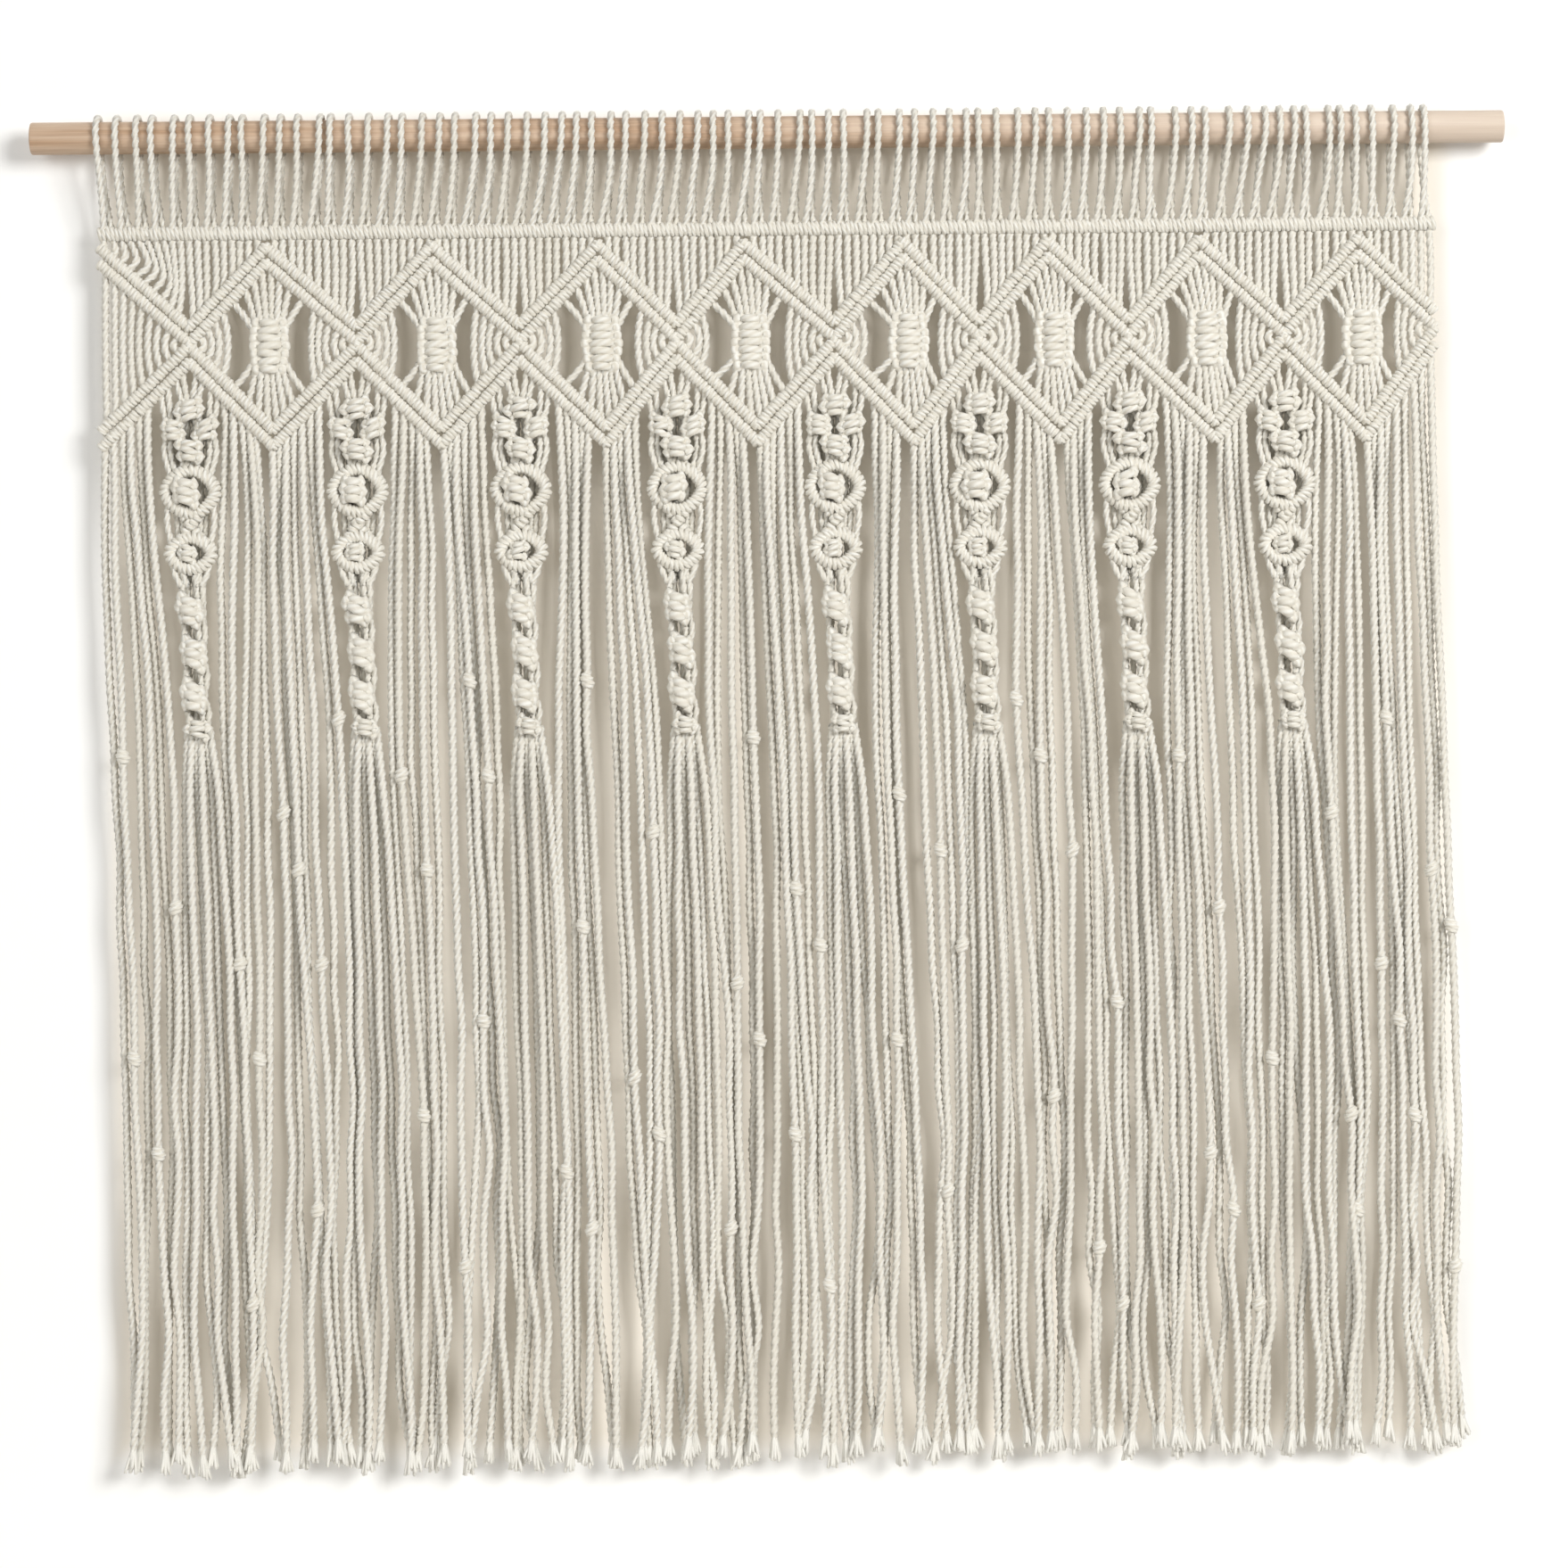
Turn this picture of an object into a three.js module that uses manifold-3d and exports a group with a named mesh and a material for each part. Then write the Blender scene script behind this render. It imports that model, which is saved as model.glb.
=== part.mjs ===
// A macrame curtain knotted on a wooden rod.
// Millimetres, +Z up. The origin is the middle of the rod's axis, +X runs along the rod,
// and the face of the curtain looks along -Y.

import * as THREE from 'three';
import { mergeVertices } from 'three/addons/utils/BufferGeometryUtils.js';
import Module from 'manifold-3d';

const wasm = await Module();
wasm.setup();

// Rod and cord
const rodLength = 1100;
const rodDiameter = 24;
const rodSides = 28;
const strandRadius = 2.4; // corner radius of the three-sided strand that stands for a 4 mm cord
const clearance = 0.3; // left between neighbouring pieces

// Outline of the curtain
const leftEdge = -499;
const rightEdge = 497;
const hemLevel = { left: -996, right: -984 };
const hemUnevenness = 6;
const fringeDrift = 12; // the hem hangs this far to the right of the knots

// Heading: loops over the rod, gathered in a straight band
const loopCount = 78;
const loopSway = 2.2; // how far a loop strays along the rod
const bandMiddle = -72;
const bandSize = { width: 6, depth: 5.6 }; // half height, and how far the crest stands out
const bandRidges = 39;
const legOffset = 3.2; // a loop's two legs reach the band this far to either side
const legDepth = 0.3; // and this far in front of its middle and behind it
const legFoot = -70; // level at which it ends inside the band

// Levels of the diagonal bars, at their centre lines
const upperApex = -91;
const upperCross = -147;
const lowerCross = -154;
const lowerApex = -218;
const rightCrossRise = 5; // the last crossing, at the right edge, is higher
const singleBar = { width: 3.5, depth: 4.4 }; // half width, and height of the crest
const doubleBar = { width: 7.2, depth: 4.4 };
const rowDrop = 12.4; // from the lower bar's upper row down to its lower row
const barRidges = 3; // on each diagonal

// Where the bars turn, a row for each diamond from left to right
const diamonds = [
  { crossing: -433, top: -375, bottom: -371 },
  { crossing: -308, top: -251, bottom: -245 },
  { crossing: -186, top: -127, bottom: -122 },
  { crossing: -69, top: -18, bottom: -9 },
  { crossing: 49, top: 101, bottom: 108 },
  { crossing: 157, top: 209, bottom: 218 },
  { crossing: 269, top: 322, bottom: 333 },
  { crossing: 385, top: 441, bottom: 446 },
];

// Strands between the band and the bars, and inside the diamonds
const panelStrands = 100;
const shortestStrand = 22;
const bundle = { middle: -153, width: 28, depth: 11, height: 40, wraps: 5 };
const fanRows = [
  { atBar: 8, atBundle: 3 },
  { atBar: 22, atBundle: 7.5 },
];
const cornerArcs = [
  { fromCorner: 18, bulge: 7 },
];
const edgeArcs = [
  { fromCorner: 16, bulge: 5 },
  { fromCorner: 33, bulge: 6 },
  { fromCorner: 50, bulge: 2 },
];

// Fringe
const fringePitch = 7.4;
const pendantRoom = { atBars: 28, atHem: 14 }; // kept free to either side of a pendant
const layerOffset = 2.6; // neighbouring strands hang in front of and behind each other

// Pendants, downwards
const netStrandRadius = 4;
const net = { bottom: -243, rows: 4, innerHalf: 1, outerHalf: 9 };
const netCorner = { out: 4.2, up: 1.6 }; // top outer corner of a net strand, from its start
const rings = [
  { middle: -261, width: 44, height: 42 },
  { middle: -298, width: 37, height: 38 },
];
const ringDepth = 5;
const ringRidges = 4;
const ringProfile = [
  { out: 0, deep: -1.5 }, // tip of the berry
  { out: 0.34, deep: -1.1 },
  { out: 0.5, deep: -0.4 }, // groove round it
  { out: 0.76, deep: -1 }, // crest of the ring
  { out: 1, deep: 0 },
  { out: 0, deep: 0.7 },
];
const chain = { top: -313, bottom: -446, blobs: 4, blobRadius: 11.5, neckRadius: 5.5 };
const looseEnds = [-8, 0, 8];

const towardsRoom = new THREE.Vector3(0, -1, 0);
const alongRod = new THREE.Vector3(1, 0, 0);

// Sections, in units of the half width and half depth of what is swept
const strandSection = [[0, 1], [-0.87, -0.5], [0.87, -0.5]];
const loopSection = [[1, 0], [-0.5, 0.87], [-0.5, -0.87]];
const singleRow = {
  core: [[-0.88, -0.35], [0.88, -0.35], [0.88, 0.572], [-0.88, 0.572]],
  face: [[-1, 0.56], [1, 0.56], [0, 1]],
  valley: 0.76,
};
const doubleRow = {
  core: [[-0.94, -0.35], [0.94, -0.35], [0.94, 0.572], [-0.94, 0.572]],
  face: [[-1, 0.56], [1, 0.56], [0.5, 1], [0, 0.62], [-0.5, 1]],
  valley: 0.76,
};
const bandRow = {
  core: [[-0.88, -0.8], [0.88, -0.8], [0.88, 0.71], [-0.88, 0.71]],
  face: [[-1, 0.7], [1, 0.7], [0, 1]],
  valley: 0.8,
};
const bundleSection = [[-1, -0.7], [1, -0.7], [0.6, 1], [-0.6, 1]];
const chainSection = [[-1, -1], [1, -1], [1, 1], [-1, 1]];

const cotton = new THREE.MeshStandardMaterial({ color: 0xe4dccb, roughness: 0.95, metalness: 0 });
const wood = new THREE.MeshStandardMaterial({ color: 0xdcb893, roughness: 0.6, metalness: 0 });

// A number from -1 to 1 that stays the same for the same seed
function uneven(seed) {
  return 2 * THREE.MathUtils.seededRandom(seed) - 1;
}

function toSolid(geometry) {
  geometry.deleteAttribute('normal');
  geometry.deleteAttribute('uv');
  const merged = mergeVertices(geometry, 1e-4);
  return new wasm.Manifold(new wasm.Mesh({
    numProp: 3,
    vertProperties: new Float32Array(merged.attributes.position.array),
    triVerts: new Uint32Array(merged.index.array),
  }));
}

function toMesh(name, solid, material) {
  const { vertProperties, triVerts } = solid.getMesh();
  const geometry = new THREE.BufferGeometry();
  geometry.setAttribute('position', new THREE.BufferAttribute(new Float32Array(vertProperties), 3));
  geometry.setIndex(new THREE.BufferAttribute(new Uint32Array(triVerts), 1));
  geometry.computeVertexNormals();
  const mesh = new THREE.Mesh(geometry, material.clone());
  mesh.name = name;
  return mesh;
}

function fuse(solids) {
  return solids.reduce((joined, solid) => joined.add(solid));
}

// Directions across a path at each of its points, lengthened where the path turns a corner
function directionsAcross(points, keep) {
  const sides = [];
  for (let i = 0; i + 1 < points.length; i += 1) {
    const ahead = points[i + 1].clone().sub(points[i]);
    sides.push(keep.clone().cross(ahead).normalize());
  }
  return points.map((point, i) => {
    const before = sides[Math.max(i - 1, 0)];
    const after = sides[Math.min(i, sides.length - 1)];
    const middle = before.clone().add(after).normalize();
    return middle.divideScalar(middle.dot(before));
  });
}

// A solid swept along its stations. The section's y follows `keep` and its x lies across the path.
// A station may turn the section about the path, or flatten it down to a crest.
function sweep(section, stations, keep = towardsRoom) {
  const steps = stations.length - 1;
  const shape = new THREE.Shape(section.map(([x, y]) => new THREE.Vector2(x, y)));
  const geometry = new THREE.ExtrudeGeometry(shape, { depth: steps, steps, bevelEnabled: false });
  const across = directionsAcross(stations.map((station) => station.at), keep);
  const position = geometry.attributes.position;
  const corner = new THREE.Vector2();
  const point = new THREE.Vector3();
  const middle = new THREE.Vector2();
  for (let v = 0; v < position.count; v += 1) {
    const i = Math.round(position.getZ(v));
    const { at, width, depth, turn = 0, crest = 1 } = stations[i];
    corner.set(position.getX(v), Math.min(position.getY(v), crest)).rotateAround(middle, turn);
    point.copy(at).addScaledVector(across[i], corner.x * width).addScaledVector(keep, corner.y * depth);
    position.setXYZ(v, point.x, point.y, point.z);
  }
  return toSolid(geometry);
}

function strand(points, radius = strandRadius) {
  return sweep(strandSection, points.map((at) => ({ at, width: radius, depth: radius })));
}

// Corner points of the bars' zigzag
function zigzag(apexName, apexLevel, crossLevel) {
  const turns = [{ x: leftEdge, z: apexLevel }];
  for (const diamond of diamonds) {
    turns.push({ x: diamond.crossing, z: crossLevel });
    turns.push({ x: diamond[apexName], z: apexLevel });
  }
  turns.push({ x: rightEdge, z: crossLevel + rightCrossRise });
  return turns;
}

const upperTurns = zigzag('top', upperApex, upperCross);
const lowerTurns = zigzag('bottom', lowerApex, lowerCross);
const fringeTurns = lowerTurns.map(({ x, z }) => ({ x, z: z - rowDrop }));

// Level of a zigzag's centre line at x
function levelAt(turns, x) {
  const i = THREE.MathUtils.clamp(turns.findIndex((turn) => turn.x >= x), 1, turns.length - 1);
  return THREE.MathUtils.mapLinear(x, turns[i - 1].x, turns[i].x, turns[i - 1].z, turns[i].z);
}

// A bar of half hitches along a zigzag: a flat core with one or two ridged rows on its face
function ridgedBar({ core, face, valley }, turns, size, ridges) {
  const corners = turns.map(({ x, z }) => new THREE.Vector3(x, 0, z));
  const steps = 2 * ridges;
  const ridgeStations = [];
  corners.slice(1).forEach((to, i) => {
    for (let step = 0; step < steps; step += 1) {
      const at = corners[i].clone().lerp(to, step / steps);
      ridgeStations.push({ at, ...size, crest: step % 2 ? 1 : valley });
    }
  });
  ridgeStations.push({ at: corners.at(-1), ...size, crest: valley });
  const coreStations = corners.map((at) => ({ at, ...size }));
  return sweep(core, coreStations).add(sweep(face, ridgeStations));
}

function makeRod() {
  const geometry = new THREE.CylinderGeometry(rodDiameter / 2, rodDiameter / 2, rodLength, rodSides);
  geometry.rotateZ(Math.PI / 2);
  return toMesh('rod', toSolid(geometry), wood);
}

// One cord doubled over the rod: up the front, over the top and down the back
function loop(index) {
  const pitch = (rightEdge - leftEdge - 2 * legOffset - 2 * strandRadius) / (loopCount - 1);
  const x = leftEdge + legOffset + strandRadius + index * pitch;
  const xOnRod = x + loopSway * uneven(index + 1);
  const arcSteps = 3;
  const flatToCorner = Math.cos(Math.PI / (2 * arcSteps));
  const radius = (rodDiameter / 2 + clearance + strandRadius / 2) / flatToCorner;
  const points = [new THREE.Vector3(x - legOffset, -legDepth, legFoot)];
  for (let step = 0; step <= arcSteps; step += 1) {
    const angle = Math.PI * step / arcSteps;
    points.push(new THREE.Vector3(xOnRod, -radius * Math.cos(angle), radius * Math.sin(angle)));
  }
  points.push(new THREE.Vector3(x + legOffset, legDepth, legFoot));
  const stations = points.map((at) => ({ at, width: strandRadius, depth: strandRadius }));
  return sweep(loopSection, stations, alongRod);
}

function makeHeading() {
  const ends = [{ x: leftEdge, z: bandMiddle }, { x: rightEdge, z: bandMiddle }];
  const solids = [ridgedBar(bandRow, ends, bandSize, bandRidges)];
  for (let index = 0; index < loopCount; index += 1) {
    solids.push(loop(index));
  }
  return toMesh('heading', fuse(solids), cotton);
}

// Strands that hang from the band to the upper bars
function strandsUnderBand() {
  const solids = [];
  const pitch = (rightEdge - leftEdge - 2 * strandRadius) / (panelStrands - 1);
  const [[lowerEdge]] = bandRow.core;
  const top = bandMiddle + lowerEdge * bandSize.width - clearance;
  for (let i = 0; i < panelStrands; i += 1) {
    const x = leftEdge + strandRadius + i * pitch;
    const bottom = levelAt(upperTurns, x);
    if (top - bottom > shortestStrand) {
      solids.push(strand([new THREE.Vector3(x, 0, top), new THREE.Vector3(x, 0, bottom)]));
    }
  }
  return solids;
}

// A strand from the upper bar to the lower one, bowed away from the crossing beside it
function arcBesideCrossing(crossing, side, { fromCorner, bulge }) {
  const x = crossing + side * fromCorner;
  const top = levelAt(upperTurns, x);
  const bottom = levelAt(lowerTurns, x);
  const bowed = x + side * bulge;
  return strand([
    new THREE.Vector3(x, 0, top),
    new THREE.Vector3(bowed, 0, (top + bottom) / 2),
    new THREE.Vector3(x, 0, bottom),
  ]);
}

// The square knots in the middle of a diamond
function knotBundle(centre) {
  const stations = [];
  for (let step = 0; step <= 2 * bundle.wraps; step += 1) {
    const z = bundle.middle + bundle.height * (0.5 - step / (2 * bundle.wraps));
    const swell = step % 2 ? 1 : 0.82;
    const half = { width: swell * bundle.width / 2, depth: swell * bundle.depth / 2 };
    stations.push({ at: new THREE.Vector3(centre, 0, z), ...half });
  }
  return sweep(bundleSection, stations);
}

// Strands that gather from the bars into the bundle, above and below it
function fanStrands(centre) {
  const solids = [];
  const reach = bundle.height / 2 - strandRadius;
  for (const { atBar, atBundle } of fanRows) {
    for (const side of [-1, 1]) {
      const xAtBar = centre + side * atBar;
      const xAtBundle = centre + side * atBundle;
      const above = new THREE.Vector3(xAtBar, 0, levelAt(upperTurns, xAtBar));
      const below = new THREE.Vector3(xAtBar, 0, levelAt(lowerTurns, xAtBar));
      solids.push(strand([above, new THREE.Vector3(xAtBundle, 0, bundle.middle + reach)]));
      solids.push(strand([new THREE.Vector3(xAtBundle, 0, bundle.middle - reach), below]));
    }
  }
  return solids;
}

function makePanel() {
  const solids = [
    ridgedBar(doubleRow, upperTurns, doubleBar, barRidges),
    ridgedBar(singleRow, lowerTurns, singleBar, barRidges),
    ...strandsUnderBand(),
    ...edgeArcs.map((arc) => arcBesideCrossing(diamonds[0].crossing, -1, arc)),
  ];
  diamonds.forEach((diamond, i) => {
    const nextCrossing = i + 1 < diamonds.length ? diamonds[i + 1].crossing : rightEdge;
    const centre = (diamond.top + diamond.bottom) / 2;
    solids.push(knotBundle(centre), ...fanStrands(centre));
    for (const arc of cornerArcs) {
      solids.push(arcBesideCrossing(diamond.crossing, 1, arc));
      solids.push(arcBesideCrossing(nextCrossing, -1, arc));
    }
  });
  return toMesh('panel', fuse(solids), cotton);
}

// The level of the hem under x, and how far the strands have drifted at a level
function hemAt(x) {
  return THREE.MathUtils.mapLinear(x, leftEdge, rightEdge, hemLevel.left, hemLevel.right);
}

function driftAt(z) {
  return fringeDrift * THREE.MathUtils.smoothstep(-z, -lowerCross, 0.8 * -hemLevel.left);
}

// A hanging strand from its root to the hem, in the front or the back layer
function hangingStrand(root, xAtHem, seed) {
  const y = layerOffset * (seed % 2 ? 1 : -1);
  const tip = hemAt(xAtHem) + hemUnevenness * uneven(seed + 500);
  const level = THREE.MathUtils.lerp(root.z, tip, 0.45);
  const x = THREE.MathUtils.lerp(root.x, xAtHem, 0.6);
  return strand([
    root,
    new THREE.Vector3(x + driftAt(level) + uneven(seed), y, level),
    new THREE.Vector3(xAtHem + driftAt(tip) + uneven(seed + 200), y, tip),
  ]);
}

// Stretches of the fringe between the pendants, left and right of each one
function fringeStretches() {
  const crossings = diamonds.map((diamond) => diamond.crossing);
  return [...crossings, Infinity].map((crossing, i) => {
    const before = i > 0 ? crossings[i - 1] : -Infinity;
    const from = Math.max(before + pendantRoom.atBars, leftEdge + strandRadius);
    const to = Math.min(crossing - pendantRoom.atBars, rightEdge - strandRadius);
    const hemFrom = Math.max(before + pendantRoom.atHem, leftEdge + strandRadius);
    const hemTo = Math.min(crossing - pendantRoom.atHem, rightEdge - strandRadius);
    return { from, to, hemFrom, hemTo };
  });
}

function makeFringe() {
  const solids = [ridgedBar(singleRow, fringeTurns, singleBar, barRidges)];
  for (const { from, to, hemFrom, hemTo } of fringeStretches()) {
    const gaps = Math.round((to - from) / fringePitch);
    for (let i = 0; i <= gaps; i += 1) {
      const x = THREE.MathUtils.lerp(from, to, i / gaps);
      const xAtHem = THREE.MathUtils.lerp(hemFrom, hemTo, i / gaps);
      const root = new THREE.Vector3(x, 0, levelAt(fringeTurns, x));
      solids.push(hangingStrand(root, xAtHem, solids.length));
    }
  }
  return toMesh('fringe', fuse(solids), cotton);
}

// Underside of the fringe's bar over x
function undersideAt(x) {
  const slope = levelAt(fringeTurns, x + 0.5) - levelAt(fringeTurns, x - 0.5);
  return levelAt(fringeTurns, x) - singleBar.width * Math.hypot(1, slope);
}

// Two strands that part and meet again, the open net at a pendant's head
function netStrands(x) {
  const seat = Math.min(undersideAt(x - netCorner.out), undersideAt(x + netCorner.out));
  const top = seat - netCorner.up - clearance;
  return [-1, 1].map((side) => {
    const points = [];
    for (let row = 0; row <= net.rows; row += 1) {
      const out = row % 2 ? net.outerHalf : net.innerHalf;
      const level = THREE.MathUtils.lerp(top, net.bottom, row / net.rows);
      points.push(new THREE.Vector3(x + side * out, 0, level));
    }
    return strand(points, netStrandRadius);
  });
}

// A ridged ring of half hitches with a berry knot inside it
function ringKnot(x, { middle, width, height }) {
  const points = ringProfile.map(({ out, deep }) => new THREE.Vector2(out * width / 2, deep * ringDepth));
  const ring = new THREE.LatheGeometry(points, 2 * ringRidges);
  const position = ring.attributes.position;
  for (let v = 0; v < position.count; v += 1) {
    const turn = Math.atan2(position.getX(v), position.getZ(v)) / (2 * Math.PI);
    const swell = Math.round(turn * 2 * ringRidges) % 2 ? 0.9 : 1;
    position.setX(v, position.getX(v) * swell);
    position.setZ(v, position.getZ(v) * swell);
  }
  ring.scale(1, 1, height / width);
  ring.translate(x, 0, middle);
  return toSolid(ring);
}

// The twisted chain of half knots, swollen at each turn
function twistedChain(x) {
  const steps = 2 * chain.blobs + 1;
  const stations = [];
  for (let step = 0; step <= steps; step += 1) {
    const radius = step % 2 ? chain.blobRadius : chain.neckRadius;
    const at = new THREE.Vector3(x, 0, THREE.MathUtils.lerp(chain.top, chain.bottom, step / steps));
    stations.push({ at, width: 0.7 * radius, depth: 0.55 * radius, turn: step * Math.PI / 5 });
  }
  return sweep(chainSection, stations);
}

function makePendant(diamond, index) {
  const x = diamond.crossing;
  const solids = [...netStrands(x), twistedChain(x)];
  for (const ring of rings) {
    solids.push(ringKnot(x, ring));
  }
  looseEnds.forEach((offset, i) => {
    const root = new THREE.Vector3(x + offset / 2, 0, chain.bottom + 2 * strandRadius);
    solids.push(hangingStrand(root, x + offset, 1000 + 10 * index + i));
  });
  return toMesh(`pendant_${index + 1}`, fuse(solids), cotton);
}

const curtain = new THREE.Group();
curtain.add(makeRod(), makeHeading(), makePanel(), makeFringe(), ...diamonds.map(makePendant));

export default curtain;
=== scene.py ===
# %% [markdown]
# A macrame curtain that hangs from a wooden rod. It is one long job of knotting: doubled cotton
# cords go over the rod, one straight row of half hitches gathers them, double diagonal rows cross
# into eight diamonds, a pendant of knots hangs under each crossing, and the rest is left as fringe.
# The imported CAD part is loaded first. It fixes the place and size of everything made here.

# %% Load the frame
import math

import bmesh
import bpy
import numpy as np
from mathutils import Matrix, Vector


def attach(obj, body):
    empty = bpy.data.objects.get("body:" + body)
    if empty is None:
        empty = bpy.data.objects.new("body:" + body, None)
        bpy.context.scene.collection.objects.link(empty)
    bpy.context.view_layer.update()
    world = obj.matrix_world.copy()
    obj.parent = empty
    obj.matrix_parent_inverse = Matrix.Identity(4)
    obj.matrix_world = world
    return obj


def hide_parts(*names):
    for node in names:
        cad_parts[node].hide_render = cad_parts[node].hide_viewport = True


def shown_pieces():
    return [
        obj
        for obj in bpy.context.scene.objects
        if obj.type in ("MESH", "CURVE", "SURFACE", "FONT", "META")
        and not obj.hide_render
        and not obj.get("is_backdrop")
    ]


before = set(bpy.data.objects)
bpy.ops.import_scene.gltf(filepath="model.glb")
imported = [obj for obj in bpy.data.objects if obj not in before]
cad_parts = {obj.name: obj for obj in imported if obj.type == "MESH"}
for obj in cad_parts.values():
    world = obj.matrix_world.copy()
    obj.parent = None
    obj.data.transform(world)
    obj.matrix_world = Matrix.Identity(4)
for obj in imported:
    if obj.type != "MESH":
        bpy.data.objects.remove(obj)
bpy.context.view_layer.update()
print("CAD nodes:", sorted(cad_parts))

# %% [markdown]
# The measures of the curtain are the CAD part's own. Lengths in the knotting are given in
# millimetres, as a maker would write them down, and become metres when a mesh is made. The cord is
# a three-ply cotton rope about 5 mm thick. A seeded generator gives the small unevenness of
# handwork, so every run ties the same curtain.

# %% Measures of the curtain
MM = 0.001
ROD_LENGTH = 1100.0
ROD_RADIUS = 12.0
CORD_RADIUS = 2.55
PLIES = 3
PLY_PITCH = 22.0
LEFT_EDGE = -499.0
RIGHT_EDGE = 497.0
CORD_COUNT = 156
CORD_GAP = (RIGHT_EDGE - LEFT_EDGE - 2 * CORD_RADIUS) / (CORD_COUNT - 1)
CORD_PLACES = LEFT_EDGE + CORD_RADIUS + CORD_GAP * np.arange(CORD_COUNT)
hand = np.random.default_rng(20)
print(f"{CORD_COUNT} cords, {CORD_GAP:.2f} mm apart")

# %% [markdown]
# Every finish here is worked out from the place on the object, a UV map or an attribute, so none of
# them needs an image. A few helpers keep the chains of nodes short: one step of arithmetic, a mix of
# two colours, noise, a soft fade between two values, and fine relief.

# %% Helpers for the finishes
def feed(links, socket, value):
    """A link if the value comes from another node, or else the plain value."""
    if isinstance(value, bpy.types.NodeSocket):
        links.new(value, socket)
    else:
        socket.default_value = value


def link_maths(nodes, links, operation, *values):
    step = nodes.new("ShaderNodeMath")
    step.operation = operation
    for socket, value in zip(step.inputs, values):
        feed(links, socket, value)
    return step.outputs[0]


def mix_colours(nodes, links, factor, first, second, blend="MIX"):
    mix = nodes.new("ShaderNodeMix")
    mix.data_type = "RGBA"
    mix.blend_type = blend
    for number, value in ((0, factor), (6, first), (7, second)):
        feed(links, mix.inputs[number], value)
    return mix.outputs[2]


def noise_on(nodes, links, vector, scale, detail):
    noise = nodes.new("ShaderNodeTexNoise")
    noise.inputs["Scale"].default_value = scale
    noise.inputs["Detail"].default_value = detail
    links.new(vector, noise.inputs["Vector"])
    return noise.outputs["Fac"]


def fade(nodes, links, value, start, end):
    """Nothing at `start`, all at `end`, and a soft change between them."""
    step = nodes.new("ShaderNodeMapRange")
    step.interpolation_type = "SMOOTHSTEP"
    step.inputs["From Min"].default_value = start
    step.inputs["From Max"].default_value = end
    links.new(value, step.inputs["Value"])
    return step.outputs[0]


def split_axes(nodes, links, vector):
    split = nodes.new("ShaderNodeSeparateXYZ")
    links.new(vector, split.inputs[0])
    return split.outputs


def place_on_object(nodes):
    return nodes.new("ShaderNodeTexCoord").outputs["Object"]


def add_relief(nodes, links, shader, height, strength, depth):
    bump = nodes.new("ShaderNodeBump")
    bump.inputs["Strength"].default_value = strength
    bump.inputs["Distance"].default_value = depth * MM
    links.new(height, bump.inputs["Height"])
    links.new(bump.outputs["Normal"], shader.inputs["Normal"])


def new_material(name):
    material = bpy.data.materials.new(name)
    material.use_nodes = True
    nodes = material.node_tree.nodes
    return material, nodes, material.node_tree.links, nodes["Principled BSDF"]


# %% [markdown]
# Cotton rope is matt and a little fuzzy, so light dies between its three plies and a faint sheen
# shows where fibres stand out from the edge. The ply pattern could be an image, but a cosine across
# the cord's own UV map follows every bend. The first UV number runs round the cord and follows the
# twist, the second runs along it. Grooves are sunk, and their darker colour is painted shade. Slow
# noise with one shade for each cord keeps the cream from looking like paint.

# %% Cotton finish
# The groove colour is painted shade: it darkens the sunk grooves between the plies.
PLY_GROOVE_PAINTED_SHADE = (0.62, 0.57, 0.48, 1)
PLY_CROWN = (0.87, 0.87, 0.835, 1)
DULL_PATCH = (0.80, 0.775, 0.705, 1)
AGED_CORD = (0.72, 0.685, 0.60, 1)
YARN_INSIDE = (0.74, 0.72, 0.665, 1)
YARN_OUTSIDE = (0.85, 0.84, 0.79, 1)
FLECKING = 0.18
FIBRE_HEIGHT = 0.55


def make_cotton():
    material, nodes, links, shader = new_material("natural_cotton")
    lay = nodes.new("ShaderNodeUVMap")
    lay.uv_map = "cord_lay"
    round_cord = split_axes(nodes, links, lay.outputs["UV"])[0]
    angle = link_maths(nodes, links, "MULTIPLY", round_cord, 2 * math.pi * PLIES)
    wave = link_maths(nodes, links, "COSINE", angle)
    ply = link_maths(nodes, links, "MULTIPLY_ADD", wave, 0.5, 0.5)
    place = place_on_object(nodes)
    fibres = noise_on(nodes, links, place, scale=1500, detail=2)
    blotches = noise_on(nodes, links, place, scale=22, detail=2)
    own = nodes.new("ShaderNodeAttribute")
    own.attribute_name = "shade"
    # Painted shade: the grooves of the plies take the darker groove colour.
    plies = mix_colours(nodes, links, ply, PLY_GROOVE_PAINTED_SHADE, PLY_CROWN)
    patchy = mix_colours(nodes, links, blotches, plies, DULL_PATCH)
    aged = mix_colours(nodes, links, own.outputs["Fac"], patchy, AGED_CORD)
    flecked = mix_colours(nodes, links, FLECKING, aged, fibres, "OVERLAY")
    links.new(flecked, shader.inputs["Base Color"])
    relief = link_maths(nodes, links, "MULTIPLY_ADD", fibres, FIBRE_HEIGHT, ply)
    add_relief(nodes, links, shader, relief, strength=0.7, depth=0.35)
    shader.inputs["Roughness"].default_value = 0.93
    shader.inputs["Specular IOR Level"].default_value = 0.18
    shader.inputs["Sheen Weight"].default_value = 0.3
    shader.inputs["Sheen Roughness"].default_value = 0.45
    return material


def make_yarn():
    """The same cotton where a cord is opened: no plies left, only soft fibres."""
    material, nodes, links, shader = new_material("opened_cotton")
    fibres = noise_on(nodes, links, place_on_object(nodes), scale=1100, detail=3)
    soft = mix_colours(nodes, links, fibres, YARN_INSIDE, YARN_OUTSIDE)
    links.new(soft, shader.inputs["Base Color"])
    shader.inputs["Roughness"].default_value = 0.95
    shader.inputs["Specular IOR Level"].default_value = 0.15
    shader.inputs["Sheen Weight"].default_value = 0.4
    shader.inputs["Sheen Roughness"].default_value = 0.5
    return material


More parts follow.
